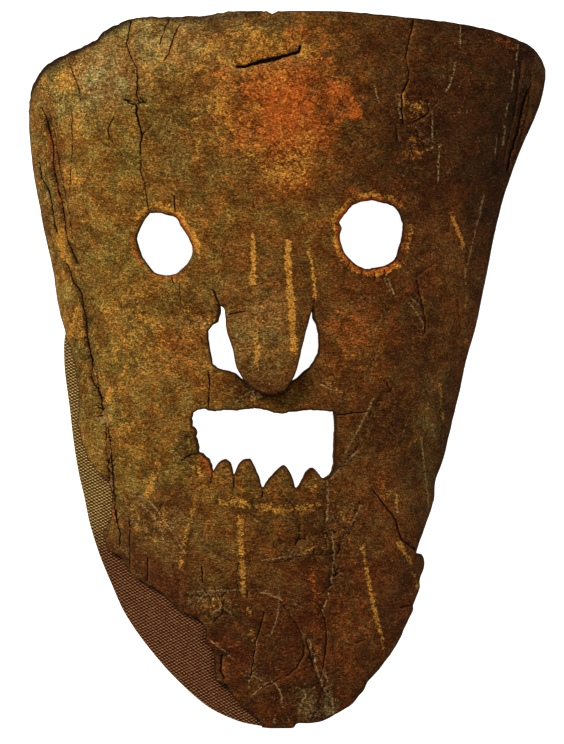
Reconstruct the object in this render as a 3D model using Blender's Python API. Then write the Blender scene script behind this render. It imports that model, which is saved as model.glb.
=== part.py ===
"""A medieval mask: one skin of moulded leather, and the woven cloth that backs its torn cheek.

Metres. +X is the right-hand side of the face as seen from the front, +Y is up the face, and +Z
points out of it. The mask lies on its side rims, hollow side down, on the plane z = 0.
"""
import math

import bmesh
import bpy
import numpy as np
from mathutils import Vector
from mathutils.geometry import delaunay_2d_cdt

# Overall size
HEIGHT = 0.230
WIDTH = 0.1676

# Thickness of the skin and of the cloth behind it
LEATHER = 0.0024
CLOTH = 0.0012
CLOTH_GAP = 0.0003

# The moulded form: a crown across the face, sides that roll down, a forehead and chin that fall back
CROWN = 0.022
ROLL = 0.008
ROLL_STEEPNESS = 1.35
FOREHEAD_FALL = 0.15
CHIN_FALL = 0.40

# Eye holes: long and short radius, the lean of the long one, and the thinned band around them
EYE_SPACING = 0.0689
EYES_MIDDLE = (-0.0062, 0.0415)
EYE_STEP = 0.0031
LEFT_EYE = (0.0101, 0.0083)
LEFT_EYE_LEAN = math.radians(116)
RIGHT_EYE = (0.0108, 0.0103)
RIGHT_EYE_LEAN = math.radians(81)
EYE_SKIVE = 0.0016

# The nose, a tongue cut free on three sides, and the curved gaps beside it
NOSE_WIDTH = 0.0305
NOSE_LENGTH = 0.0289
NOSE_ROOT = (-0.0069, 0.0211)
NOSE_BRIDGE = 0.004
NOSE_TIP_LIFT = 0.0065
NOSE_EDGE_LIFT = 0.0035
NOSE_OVERHANG = 1.12

# The mouth and its cut teeth
MOUTH_WIDTH = 0.0463
MOUTH_HEIGHT = 0.0252
MOUTH_TOP = (-0.0076, -0.0122)

# The tear in the forehead, a split in the grain side that the flesh side still holds
TEAR_LENGTH = 0.0192
TEAR_OPENING = 0.0018
TEAR_DEPTH = 0.0016
TEAR_START = (-0.0152, 0.0971)
TEAR_SLOPE = math.radians(14)

# Soft relief of the face
CHEEK_BULGE = 0.0020
BROW_BULGE = 0.0014
CHIN_BULGE = 0.0024

# How finely the faces are cut into facets
NET = 0.0056
EDGE_STEP = 0.0038

# Side rims, as shares of width and height, from the top down
LEFT_RIM = [
    (-0.499, 0.450), (-0.499, 0.363), (-0.493, 0.288), (-0.483, 0.246), (-0.472, 0.204),
    (-0.460, 0.162), (-0.449, 0.120), (-0.445, 0.078), (-0.446, 0.036), (-0.445, -0.006),
    (-0.439, -0.048), (-0.432, -0.090), (-0.423, -0.133), (-0.412, -0.175), (-0.399, -0.217),
    (-0.379, -0.259), (-0.362, -0.301), (-0.346, -0.343), (-0.325, -0.406), (-0.295, -0.500),
]
RIGHT_RIM = [
    (0.500, 0.450), (0.500, 0.414), (0.495, 0.391), (0.479, 0.356), (0.452, 0.309),
    (0.429, 0.267), (0.413, 0.225), (0.393, 0.162), (0.370, 0.078), (0.341, -0.006),
    (0.314, -0.090), (0.299, -0.133), (0.288, -0.154), (0.284, -0.182), (0.275, -0.224),
    (0.269, -0.259), (0.264, -0.291), (0.252, -0.325), (0.223, -0.406), (0.191, -0.500),
]

# The other stretches of the leather's outline, as shares of width and height
LEFT_CHEEK = (0.363, 0.120)
LEFT_LIFTED = [(-0.431, 0.060), (-0.438, 0.078), (-0.444, 0.099), (-0.449, 0.120)]
TOP_LEFT = [
    (-0.500, 0.363), (-0.495, 0.392), (-0.481, 0.413), (-0.464, 0.427), (-0.435, 0.439),
    (-0.410, 0.447), (-0.372, 0.459), (-0.352, 0.473), (-0.302, 0.489), (-0.268, 0.492),
    (-0.162, 0.493), (-0.129, 0.498), (-0.081, 0.500), (-0.040, 0.500),
]
TOP_NICK = [(-0.040, 0.500), (-0.029, 0.496), (-0.017, 0.500)]
TOP_RIGHT = [
    (-0.017, 0.500), (0.083, 0.500), (0.198, 0.494), (0.314, 0.485), (0.391, 0.475),
    (0.449, 0.461), (0.481, 0.447), (0.500, 0.422), (0.496, 0.396),
]
RIGHT_CHEEK = (0.396, -0.182)
JAW = [
    (0.284, -0.182), (0.264, -0.224), (0.251, -0.256), (0.260, -0.257), (0.267, -0.266),
    (0.265, -0.278), (0.257, -0.294), (0.257, -0.305), (0.244, -0.329), (0.244, -0.337),
    (0.230, -0.358), (0.212, -0.385), (0.185, -0.413), (0.158, -0.435), (0.144, -0.451),
    (0.123, -0.468), (0.092, -0.481), (0.062, -0.492), (0.019, -0.494), (0.012, -0.499),
    (-0.006, -0.500), (-0.029, -0.500), (-0.048, -0.499),
]
TORN_EDGE = [
    (-0.048, -0.499), (-0.058, -0.486), (-0.085, -0.471), (-0.102, -0.458), (-0.115, -0.441),
    (-0.139, -0.431), (-0.139, -0.412), (-0.142, -0.392), (-0.158, -0.378), (-0.156, -0.360),
    (-0.173, -0.347), (-0.210, -0.333), (-0.248, -0.308), (-0.293, -0.290), (-0.308, -0.277),
    (-0.323, -0.260), (-0.345, -0.253), (-0.358, -0.229), (-0.348, -0.218), (-0.339, -0.203),
    (-0.337, -0.175), (-0.343, -0.156), (-0.368, -0.140), (-0.385, -0.123), (-0.395, -0.100),
    (-0.404, -0.076), (-0.402, -0.030), (-0.410, 0.008), (-0.419, 0.032), (-0.427, 0.048),
    (-0.431, 0.060),
]

# The cloth: its free edge outside the leather, then the edge that lies hidden behind it
CLOTH_FREE = [
    (-0.428, 0.050), (-0.430, 0.036), (-0.429, 0.008), (-0.425, -0.020), (-0.418, -0.055),
    (-0.411, -0.100), (-0.401, -0.145), (-0.390, -0.180), (-0.379, -0.217), (-0.361, -0.259),
    (-0.337, -0.301), (-0.310, -0.343), (-0.269, -0.385), (-0.219, -0.427), (-0.154, -0.469),
    (-0.094, -0.490), (-0.050, -0.497),
]
CLOTH_HIDDEN = [
    (-0.050, -0.497), (0.000, -0.492), (0.024, -0.475), (-0.004, -0.458), (-0.048, -0.440),
    (-0.075, -0.412), (-0.085, -0.375), (-0.098, -0.332), (-0.158, -0.296), (-0.235, -0.262),
    (-0.271, -0.236), (-0.281, -0.203), (-0.281, -0.161), (-0.302, -0.130), (-0.331, -0.106),
    (-0.345, -0.069), (-0.346, -0.020), (-0.360, 0.036), (-0.379, 0.071), (-0.400, 0.078),
    (-0.414, 0.068), (-0.428, 0.050),
]

# The nose tongue and its opening, as shares of the nose's width and length, from the root
TONGUE = [
    (-0.500, 0.000), (-0.463, 0.100), (-0.418, 0.270), (-0.352, 0.490), (-0.310, 0.690),
    (-0.220, 0.849), (-0.103, 0.950), (0.066, 1.000), (0.193, 0.961), (0.278, 0.849),
    (0.341, 0.682), (0.394, 0.447), (0.447, 0.223), (0.500, 0.027),
]
NOSE_GAP_EDGE = [
    (0.558, 0.280), (0.582, 0.469), (0.520, 0.670), (0.385, 0.825), (0.246, 0.905),
    (0.013, 0.944), (-0.220, 0.855), (-0.378, 0.793), (-0.548, 0.726), (-0.579, 0.670),
    (-0.611, 0.447), (-0.611, 0.268), (-0.527, 0.156),
]

# The mouth's outline, as shares of its width from the left and of its height from the top
MOUTH_LIP = [
    (0.010, 0.042), (0.049, 0.008), (0.186, 0.028), (0.309, 0.014), (0.438, 0.000),
    (0.545, 0.028), (0.630, 0.070), (0.676, 0.049), (0.828, 0.014), (0.928, 0.028),
    (0.989, 0.042), (1.000, 0.320), (0.992, 0.542), (0.980, 0.793),
]
MOUTH_TEETH = [
    (0.966, 0.840), (0.916, 0.885), (0.840, 0.762), (0.740, 1.000), (0.641, 0.715),
    (0.496, 0.980), (0.389, 0.615), (0.298, 0.820), (0.213, 0.625), (0.156, 0.780),
]
MOUTH_CORNER = [
    (0.095, 0.600), (0.049, 0.550), (0.034, 0.430), (0.019, 0.361), (0.030, 0.286),
    (0.008, 0.237), (0.000, 0.125),
]

# The tear's outline, as shares of its length and of its opening
TEAR = [
    (0.000, 0.00), (0.290, -0.35), (0.530, -0.45), (0.790, -0.30), (1.000, 0.00),
    (0.790, 0.15), (0.550, 0.45), (0.270, 0.65),
]
TEAR_BED = [(0.270, 0.12), (0.550, 0.00), (0.790, -0.05)]

# Soft relief: centre and spread as shares of width and height
CHEEKS = [((-0.205, 0.035), (0.110, 0.085)), ((0.138, 0.040), (0.110, 0.085))]
BROWS = [((-0.230, 0.262), (0.130, 0.050)), ((0.165, 0.272), (0.130, 0.050))]
CHIN = ((-0.035, -0.300), (0.160, 0.100))

# A step between two places on the face, small enough to give its tangents
TANGENT_STEP = 0.0001
# Places closer than this to a line belong to it
MARGIN = 0.0003


def placed(shares):
    """The places on the face that shares of width and height stand for."""
    return [(x * WIDTH, y * HEIGHT) for x, y in shares]


def smooth_at(where, knots, values):
    """A smooth curve through values at rising knots, held level beyond its two ends."""
    slopes = np.gradient(values, knots)
    where = np.clip(where, knots[0], knots[-1])
    low = np.clip(np.searchsorted(knots, where) - 1, 0, len(knots) - 2)
    span = knots[low + 1] - knots[low]
    t = (where - knots[low]) / span
    start = values[low] * (1 + 2 * t) * (1 - t) ** 2
    end = values[low + 1] * t * t * (3 - 2 * t)
    start_slope = slopes[low] * span * t * (1 - t) ** 2
    end_slope = slopes[low + 1] * span * t * t * (t - 1)
    return start + end + start_slope + end_slope


def rim_x(rim, y):
    """How far out a side rim is at height y."""
    points = np.array(placed(rim))[::-1]
    return smooth_at(y, points[:, 1], points[:, 0])


def rim_points(rim, top, bottom):
    """Points down a side rim, between two shares of the height."""
    count = math.ceil((top - bottom) * HEIGHT / EDGE_STEP)
    heights = np.linspace(top * HEIGHT, bottom * HEIGHT, count + 1)
    return [(float(rim_x(rim, y)), float(y)) for y in heights]


def divided(points, step):
    """The same open line, with no piece of it longer than the step."""
    result = []
    for (x0, y0), (x1, y1) in zip(points, points[1:]):
        pieces = max(1, math.ceil(math.hypot(x1 - x0, y1 - y0) / step))
        for k in range(pieces):
            share = k / pieces
            result.append((x0 + (x1 - x0) * share, y0 + (y1 - y0) * share))
    result.append(points[-1])
    return result


def inside(points, loop):
    """Which of the points lie inside a closed loop."""
    loop = np.array(loop)
    after = np.roll(loop, -1, axis=0)
    x = points[:, 0:1]
    y = points[:, 1:2]
    spans = (loop[:, 1] > y) != (after[:, 1] > y)
    rise = np.where(after[:, 1] == loop[:, 1], 1.0, after[:, 1] - loop[:, 1])
    crossing = loop[:, 0] + (y - loop[:, 1]) / rise * (after[:, 0] - loop[:, 0])
    return (spans & (x < crossing)).sum(axis=1) % 2 == 1


def distance(points, line):
    """How far each point is from an open line."""
    line = np.array(line)
    start = line[:-1]
    along = line[1:] - start
    offset = points[:, None, :] - start[None, :, :]
    share = (offset * along).sum(axis=2) / (along ** 2).sum(axis=1)
    nearest = offset - np.clip(share, 0, 1)[:, :, None] * along
    return np.sqrt((nearest ** 2).sum(axis=2)).min(axis=1)


# Outlines of the holes

def nose_place(across, down):
    """A place on the nose, from shares of its width and length."""
    return NOSE_ROOT[0] + across * NOSE_WIDTH, NOSE_ROOT[1] - down * NOSE_LENGTH


def tongue_line():
    """The tongue's outline before it is drawn out over the lip."""
    return [nose_place(across, down / NOSE_OVERHANG) for across, down in TONGUE]


def nose_gap():
    return tongue_line() + [nose_place(across, down) for across, down in NOSE_GAP_EDGE]


def eye_hole(centre, radii, lean, margin):
    """An oval eye hole, wider than its own radii by the margin."""
    long_radius = radii[0] + margin
    short_radius = radii[1] + margin
    count = math.ceil(2 * math.pi * long_radius / EDGE_STEP)
    points = []
    for k in range(count):
        turn = 2 * math.pi * k / count
        u = long_radius * math.cos(turn)
        v = short_radius * math.sin(turn)
        x = centre[0] + u * math.cos(lean) - v * math.sin(lean)
        y = centre[1] + u * math.sin(lean) + v * math.cos(lean)
        points.append((x, y))
    return points


def eye_centres():
    left = (EYES_MIDDLE[0] - EYE_SPACING / 2, EYES_MIDDLE[1] - EYE_STEP / 2)
    right = (EYES_MIDDLE[0] + EYE_SPACING / 2, EYES_MIDDLE[1] + EYE_STEP / 2)
    return left, right


def mouth_hole():
    left = MOUTH_TOP[0] - MOUTH_WIDTH / 2
    shares = MOUTH_LIP + MOUTH_TEETH + MOUTH_CORNER
    return [(left + across * MOUTH_WIDTH, MOUTH_TOP[1] - down * MOUTH_HEIGHT) for across, down in shares]


def tear_line(shares):
    points = []
    for along, up in shares:
        u = along * TEAR_LENGTH
        v = up * TEAR_OPENING
        x = TEAR_START[0] + u * math.cos(TEAR_SLOPE) - v * math.sin(TEAR_SLOPE)
        y = TEAR_START[1] + u * math.sin(TEAR_SLOPE) + v * math.cos(TEAR_SLOPE)
        points.append((x, y))
    return points


# The moulded surface

def mound(x, y, centre, spread):
    """A soft round rise, one at its middle."""
    u = (x - centre[0] * WIDTH) / (spread[0] * WIDTH)
    v = (y - centre[1] * HEIGHT) / (spread[1] * HEIGHT)
    return np.exp(-u * u - v * v)


def tongue_share(points):
    """How far down the tongue each place is: 0 at its root and off it, 1 at its tip."""
    line = tongue_line()
    on_tongue = inside(points, line) | (distance(points, line) < MARGIN)
    length = NOSE_LENGTH / NOSE_OVERHANG
    return np.where(on_tongue, np.clip((NOSE_ROOT[1] - points[:, 1]) / length, 0, 1), 0)


def face_height(x, y, tongue):
    """How high the outer face stands above the table."""
    left = rim_x(LEFT_RIM, y)
    right = rim_x(RIGHT_RIM, y)
    half = (right - left) / 2
    across = (x - (left + right) / 2) / half
    inward = half * (1 - np.abs(across))
    arch = CROWN * half / (WIDTH / 2) * (1 - across ** 2)
    sides = ROLL_STEEPNESS * ROLL * (1 - np.exp(-inward / ROLL))
    upper = np.clip((y / HEIGHT - 0.15) / 0.35, 0, 1)
    lower = np.clip((-0.05 - y / HEIGHT) / 0.45, 0, 1)
    bend = 1 - FOREHEAD_FALL * upper ** 2 - CHIN_FALL * lower ** 1.5
    fade = np.clip(1 - across ** 2, 0, 1)
    relief = CHIN_BULGE * mound(x, y, *CHIN)
    relief += CHEEK_BULGE * sum(mound(x, y, *cheek) for cheek in CHEEKS)
    relief += BROW_BULGE * sum(mound(x, y, *brow) for brow in BROWS)
    return (arch + sides) * bend + relief * fade + nose_height(x, y, tongue)


def nose_height(x, y, tongue):
    """The nose's rise: a ridge from between the eyes, and the tongue that stands off the lip."""
    ridge = np.exp(-(np.abs(x - NOSE_ROOT[0]) / (0.43 * NOSE_WIDTH)) ** 4)
    above = np.clip((y - NOSE_ROOT[1]) / (0.78 * NOSE_LENGTH), 0, 1)
    below = np.clip((NOSE_ROOT[1] - y) / NOSE_LENGTH, 0, 1)
    rise = (1 - above) ** 2 * (1 + 2 * above)
    fall = (1 - below) ** 2 * (1 + 2 * below)
    bridge = NOSE_BRIDGE * ridge * rise * np.where(tongue > 0, 1 - tongue, fall)
    drawn = tongue * (NOSE_EDGE_LIFT + (NOSE_TIP_LIFT - NOSE_EDGE_LIFT) * ridge)
    return bridge + drawn


def face_points(points, tongue):
    """Places on the flat pattern brought onto the moulded outer face."""
    x = points[:, 0]
    drop = NOSE_ROOT[1] - points[:, 1]
    y = np.where(tongue > 0, NOSE_ROOT[1] - drop * NOSE_OVERHANG, points[:, 1])
    return np.stack([x, y, face_height(x, y, tongue)], axis=1)


def face_normals(points, tongue):
    """Unit vectors out of the outer face."""
    step_x = np.array([TANGENT_STEP, 0.0])
    step_y = np.array([0.0, TANGENT_STEP])
    across = face_points(points + step_x, tongue) - face_points(points - step_x, tongue)
    upward = face_points(points + step_y, tongue) - face_points(points - step_y, tongue)
    normals = np.cross(across, upward)
    return normals / np.linalg.norm(normals, axis=1)[:, None]


def layer(points, depth):
    """The pattern's points on a layer at some depth behind the outer face, above the table."""
    tongue = tongue_share(points)
    depths = np.broadcast_to(depth, len(points))
    result = face_points(points, tongue) - face_normals(points, tongue) * depths[:, None]
    result[:, 2] = np.maximum(result[:, 2], 0)
    return result


def pattern_under(targets, depth):
    """Pattern points whose place on a deeper layer is seen at the targets from the front."""
    targets = np.array(targets)
    points = targets.copy()
    for _ in range(8):
        points = points + targets - layer(points, depth)[:, :2]
    return [tuple(point) for point in points]


def tear_depth(points):
    """How deep the outer face is split: only along the tear's bed."""
    return np.where(distance(points, tear_line(TEAR_BED)) < MARGIN, TEAR_DEPTH, 0)


# Outlines of the two pieces on the flat pattern

def leather_outline():
    outline = placed(TOP_LEFT)[:-1]
    outline += placed(TOP_NICK)[:-1]
    outline += placed(TOP_RIGHT)[:-1]
    outline += rim_points(RIGHT_RIM, *RIGHT_CHEEK)[:-1]
    outline += placed(JAW)[:-1]
    outline += placed(TORN_EDGE)[:-1]
    outline += placed(LEFT_LIFTED)[:-1]
    outline += rim_points(LEFT_RIM, *LEFT_CHEEK)[:0:-1]
    return outline


def cloth_outline():
    free = pattern_under(placed(CLOTH_FREE), LEATHER + CLOTH_GAP)
    return free + placed(CLOTH_HIDDEN)[1:-1]


# The net of facets that both pieces share

def net_points(loops):
    """A staggered grid of points, clear of every outline."""
    rows = math.ceil(HEIGHT / (NET * math.sqrt(3) / 2))
    columns = math.ceil(WIDTH / NET)
    points = []
    for row in range(rows + 1):
        y = -HEIGHT / 2 + row * NET * math.sqrt(3) / 2
        for column in range(columns + 1):
            points.append((-WIDTH / 2 + (column + row % 2 / 2) * NET, y))
    points = np.array(points)
    clear = np.ones(len(points), dtype=bool)
    for loop in loops:
        clear &= distance(points, loop + loop[:1]) > 0.6 * NET
    return points[clear]


def shared_net(loops, bed):
    """Triangles over the whole pattern, with every outline and the tear's bed as edges of them."""
    corners = [Vector(point) for point in bed]
    edges = [(k, k + 1) for k in range(len(bed) - 1)]
    for loop in loops:
        first = len(corners)
        corners += [Vector(point) for point in loop]
        edges += [(first + k, first + (k + 1) % len(loop)) for k in range(len(loop))]
    corners += [Vector(point) for point in net_points(loops)]
    vertices, _, faces, *_ = delaunay_2d_cdt(corners, edges, [], 0, 1e-7)
    return np.array([tuple(vertex) for vertex in vertices]), np.array(faces)


def facets_within(vertices, faces, outline, holes):
    """The facets inside an outline and outside its holes."""
    middles = vertices[faces].mean(axis=1)
    chosen = inside(middles, outline)
    for hole in holes:
        chosen &= ~inside(middles, hole)
    return faces[chosen]


def sheet_mesh(name, faces, outer, inner):
    """A closed sheet between an outer and an inner layer of the same facets."""
    used, faces = np.unique(faces, return_inverse=True)
    faces = faces.reshape(-1, 3)
    mesh = bpy.data.meshes.new(name)
    builder = bmesh.new()
    top = [builder.verts.new(point) for point in outer[used]]
    bottom = [builder.verts.new(point) for point in inner[used]]
    edges = {}
    for a, b, c in faces.tolist():
        builder.faces.new((top[a], top[b], top[c]))
        builder.faces.new((bottom[c], bottom[b], bottom[a]))
        for start, end in ((a, b), (b, c), (c, a)):
            edges[(start, end)] = (end, start)
    for (start, end), opposite in edges.items():
        if opposite not in edges:
            builder.faces.new((top[end], top[start], bottom[start]))
            builder.faces.new((top[end], bottom[start], bottom[end]))
    builder.normal_update()
    builder.to_mesh(mesh)
    builder.free()
    mesh.shade_smooth()
    mesh.set_sharp_from_angle(angle=math.radians(35))
    return mesh


def material(name, colour, roughness):
    made = bpy.data.materials.new(name)
    made.use_nodes = True
    shader = made.node_tree.nodes["Principled BSDF"]
    shader.inputs["Base Color"].default_value = (*colour, 1.0)
    shader.inputs["Roughness"].default_value = roughness
    shader.inputs["Metallic"].default_value = 0.0
    return made


def add_object(name, mesh, finish):
    mesh.materials.append(finish)
    made = bpy.data.objects.new(name, mesh)
    bpy.context.scene.collection.objects.link(made)
    return made


def narrowed(points, layer_points, depth, eyes):
    """Draw the inner rim of each eye hole in, where the leather is thinned to an edge."""
    result = layer_points.copy()
    for centre, radii, lean in eyes:
        wide = np.array(eye_hole(centre, radii, lean, EYE_SKIVE))
        for place in wide:
            near = np.linalg.norm(points - place, axis=1) < MARGIN
            pull = np.array(centre) - place
            moved = points[near] + pull / np.linalg.norm(pull) * EYE_SKIVE
            result[near] = layer(moved, depth)
    return result


def main():
    for old in list(bpy.data.objects):
        bpy.data.objects.remove(old, do_unlink=True)

    left_eye, right_eye = eye_centres()
    eyes = [(left_eye, LEFT_EYE, LEFT_EYE_LEAN), (right_eye, RIGHT_EYE, RIGHT_EYE_LEAN)]
    holes = [eye_hole(*eye, EYE_SKIVE) for eye in eyes]
    holes += [nose_gap(), mouth_hole()]
    loops = [leather_outline(), cloth_outline(), tear_line(TEAR)] + holes
    loops = [divided(loop + loop[:1], EDGE_STEP)[:-1] for loop in loops]
    pattern, facets = shared_net(loops, tear_line(TEAR_BED))
    outline, cloth, _, *holes = loops

    skin = facets_within(pattern, facets, outline, holes)
    front = layer(pattern, tear_depth(pattern))
    back = narrowed(pattern, layer(pattern, LEATHER), LEATHER, eyes)
    leather_mesh = sheet_mesh("leather_mask", skin, front, back)
    add_object("leather_mask", leather_mesh, material("old_leather", (0.125, 0.066, 0.022), 0.55))

    backing = facets_within(pattern, facets, cloth, [])
    cloth_front = layer(pattern, LEATHER + CLOTH_GAP)
    cloth_back = layer(pattern, LEATHER + CLOTH_GAP + CLOTH)
    cloth_mesh = sheet_mesh("backing_cloth", backing, cloth_front, cloth_back)
    add_object("backing_cloth", cloth_mesh, material("woven_cloth", (0.20, 0.135, 0.060), 0.9))


main()
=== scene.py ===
"""The looks of a medieval leather mask with woven cloth behind its torn cheek.

The mask lies on its side rims. +X is its right as a viewer sees it, +Y is up the face and +Z points
out of it. Lengths are in metres. Marks on the surface are placed where a front view of 564 by 744
shows them.
"""
import math

import bpy
import numpy as np
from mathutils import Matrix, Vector, kdtree, noise
from mathutils.geometry import delaunay_2d_cdt


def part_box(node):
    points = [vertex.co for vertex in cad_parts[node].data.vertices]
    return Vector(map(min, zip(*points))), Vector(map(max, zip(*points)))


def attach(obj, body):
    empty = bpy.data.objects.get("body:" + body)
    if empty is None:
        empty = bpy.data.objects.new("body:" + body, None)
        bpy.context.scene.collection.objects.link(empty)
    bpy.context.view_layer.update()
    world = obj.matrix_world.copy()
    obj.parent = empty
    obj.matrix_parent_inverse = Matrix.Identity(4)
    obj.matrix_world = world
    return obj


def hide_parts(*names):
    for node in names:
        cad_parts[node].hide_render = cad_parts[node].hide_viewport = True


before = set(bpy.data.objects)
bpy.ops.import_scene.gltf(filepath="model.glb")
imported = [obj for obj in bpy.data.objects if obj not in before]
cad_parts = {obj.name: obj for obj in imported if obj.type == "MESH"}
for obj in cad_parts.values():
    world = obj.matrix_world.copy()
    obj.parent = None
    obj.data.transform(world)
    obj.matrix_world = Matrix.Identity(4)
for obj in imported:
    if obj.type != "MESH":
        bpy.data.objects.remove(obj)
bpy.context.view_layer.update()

# Sizes taken from the frame
MASK_LOW, MASK_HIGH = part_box("leather_mask")
WIDTH = MASK_HIGH[0] - MASK_LOW[0]
HEIGHT = MASK_HIGH[1] - MASK_LOW[1]

# The front view: how many of its steps the mask's height takes, and the mask's middle in it
VIEW_WIDTH = 564
VIEW_HEIGHT = 744
MASK_STEPS = 713
VIEW_STEP = HEIGHT / MASK_STEPS
MASK_MIDDLE = (287.25, 370.5)

# Thickness of the skin and the cloth
LEATHER = 0.0024
CLOTH = 0.0012
CLOTH_GAP = 0.0003

# The moulded form
CROWN = 0.022
ROLL = 0.008
ROLL_STEEPNESS = 1.35
FOREHEAD_FALL = 0.15
CHIN_FALL = 0.40
CHEEK_BULGE = 0.0020
BROW_BULGE = 0.0014
CHIN_BULGE = 0.0024

# Eye holes: the thinned rim, and the stained band round it with its arcs, left eye first.
# An arc is its direction and reach in degrees, then how ochre and how red it is.
EYE_SKIVE = 0.0016
EYE_THINNING = 0.0014
EYE_BAND = 0.0031
EYE_ARCS = (
    [(45, 34, 0.80, 0.95), (8, 24, 0.95, 0.75), (85, 30, 0.66, 0.40), (125, 30, 0.66, 0.50),
     (190, 40, 0.34, 0.60), (270, 40, 0.36, 0.50)],
    [(95, 34, 0.66, 0.84), (60, 26, 0.56, 0.60), (140, 30, 0.60, 0.80), (190, 34, 0.66, 0.92),
     (235, 30, 0.58, 0.90), (285, 34, 0.56, 0.80), (350, 40, 0.46, 0.40)],
)

# The nose tongue
NOSE_WIDTH = 0.0305
NOSE_LENGTH = 0.0289
NOSE_ROOT = (-0.0069, 0.0211)
NOSE_BRIDGE = 0.004
NOSE_TIP_LIFT = 0.0065
NOSE_EDGE_LIFT = 0.0035
NOSE_OVERHANG = 1.12

# The cloth's weave
THREAD_PITCH = 0.00094
RIB_PITCH = 0.00090

# The fineness of the surface nets, and of the lines that distances are measured from
FACE_NET = 0.00098
BACK_NET = 0.0026
EDGE_STEP = 0.0008
CRACK_SIDE = 0.00042
TANGENT_STEP = 0.0001
LINE_STEP = 0.0002
LOOP_STEP = 0.0003

# How far a grid's points stray, as a share of their spacing, and the seed of that
GRID_STRAY = 0.18
GRID_SEED = 11

# Two faces that meet at more than this angle share a sharp edge
SHARP_ANGLE = math.radians(50)

# How far outside the tongue's line a place still belongs to the tongue
TONGUE_MARGIN = 0.0003

# How far cracks and ticks keep from the cut edges
CRACK_CLEAR = 0.0006
TICK_CLEAR = 0.0012

# Dusty and finely wrinkled places in the front view: middle, reach and strength
DUSTY = [
    ((312, 705), (20, 18), 0.8), ((150, 530), (46, 40), 0.3), ((212, 604), (26, 16), 0.6),
    ((106, 420), (10, 10), 1.0), ((50, 195), (8, 30), 0.7), ((200, 330), (26, 20), 0.6),
    ((250, 396), (14, 8), 0.9), ((262, 320), (32, 34), 0.5), ((320, 515), (20, 14), 0.4),
    ((427, 410), (18, 40), 0.5), ((300, 60), (14, 12), 0.6), ((240, 60), (60, 36), 0.4),
    ((264, 675), (20, 24), 0.5), ((90, 80), (40, 40), 0.4), ((130, 340), (60, 80), 0.3),
]
WRINKLED = [
    ((213, 604), (24, 16), 1.0), ((190, 448), (14, 14), 0.8), ((50, 180), (12, 80), 0.8),
    ((84, 330), (12, 80), 0.6), ((395, 420), (20, 18), 0.5), ((308, 702), (26, 18), 0.9),
    ((408, 130), (26, 50), 0.6), ((198, 325), (24, 26), 0.8), ((420, 320), (14, 40), 0.5),
    ((250, 396), (16, 9), 0.8), ((76, 92), (26, 26), 0.5), ((286, 120), (60, 60), 0.5),
    ((300, 500), (60, 30), 0.3), ((150, 110), (40, 60), 0.3), ((520, 130), (14, 70), 0.5),
    ((330, 560), (30, 60), 0.3),
]

# How far the outer face is worn down at its cut edges
EDGE_ROUNDING = 0.0004
EDGE_REACH = 0.0007

# How far each cut or torn edge strays from its line, over what length, and the seed of that
STRAY = {
    "left eye": (0.00018, 0.0014, 0.7),
    "right eye": (0.0003, 0.0014, 4.2),
    "tongue": (0.00012, 0.002, 8.8),
    "nose gap": (0.00022, 0.0018, 5.4),
    "upper lip": (0.0003, 0.0012, 3.1),
    "teeth": (0.00015, 0.0012, 6.4),
    "mouth corner": (0.0004, 0.0012, 9.2),
    "top left": (0.0004, 0.0018, 1.0),
    "top right": (0.00022, 0.002, 2.0),
    "jaw": (0.00025, 0.003, 3.0),
    "torn edge": (0.0005, 0.0022, 4.0),
}

# How far cracks and creases stray, and over what length. Each has a seed of its own.
CRACK_STRAY = (0.00035, 0.0016)
CRACK_SEED = 30.0
TEAR_SEED = 60.0
FIBRE_SEED = 90.0
CREASE_SEED = 120.0
TICK_SEED = 5.3

# Dark worn skin: its reach at the outline, the two eyes, the nose gap and the mouth, and the part
# of the front view where it is broader
EDGE_WEAR = (0.0009, 0.0007, 0.0007, 0.0009, 0.0012)
BROAD_WEAR = ((74, 60), (62, 44), -28)
BROAD_WEAR_GAIN = 1.3

# Relief of the outer face, and slow waves on it, in the cracks' gape, on the flesh side and on
# the cloth. A wave has its height, its length and its seed.
CRACK_DEPTH = 0.00055
CREASE_DEPTH = 0.00040
CREASE_REACH = 0.0020
FIBRE_RISE = 0.00010
# Where the lighter lip of each crack lies from it: partly raw fibres, partly painted light on the crack's
# wall that faces the lamp
LIP_OFFSET = (0.00040, -0.00030)
SHALLOWEST_EDGE = 0.0002
HIGHEST_RISE = 0.0005
FACE_WAVES = ((0.00030, 0.013, 40.0), (0.00012, 0.0042, 44.0), (0.00006, 0.0019, 47.0))
GAPE_WAVE = (0.5, 0.0028, 83.0)
FLESH_WAVE = (0.00012, 0.006, 52.0)
CLOTH_WAVE = (0.00010, 0.011, 13.0)

# Ticks of a seam: how far apart they are, half their length, how far they stray and how dark they are
TICK_PITCH = 0.0016
TICK_HALF = 0.0007
TICK_STRAY = 0.0016
TICK_STRENGTH = 0.48

# Side rims, as shares of width and height, from the top down
LEFT_RIM = [
    (-0.499, 0.450), (-0.499, 0.363), (-0.493, 0.288), (-0.483, 0.246), (-0.472, 0.204),
    (-0.460, 0.162), (-0.449, 0.120), (-0.445, 0.078), (-0.446, 0.036), (-0.445, -0.006),
    (-0.439, -0.048), (-0.432, -0.090), (-0.423, -0.133), (-0.412, -0.175), (-0.399, -0.217),
    (-0.379, -0.259), (-0.362, -0.301), (-0.346, -0.343), (-0.325, -0.406), (-0.295, -0.500),
]
RIGHT_RIM = [
    (0.500, 0.450), (0.500, 0.414), (0.495, 0.391), (0.479, 0.356), (0.452, 0.309),
    (0.429, 0.267), (0.413, 0.225), (0.393, 0.162), (0.370, 0.078), (0.341, -0.006),
    (0.314, -0.090), (0.299, -0.133), (0.288, -0.154), (0.284, -0.182), (0.275, -0.224),
    (0.269, -0.259), (0.264, -0.291), (0.252, -0.325), (0.223, -0.406), (0.191, -0.500),
]
LEFT_CHEEK = (0.363, 0.120)
LEFT_LIFTED = [(-0.431, 0.060), (-0.438, 0.078), (-0.444, 0.099), (-0.449, 0.120)]
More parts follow.
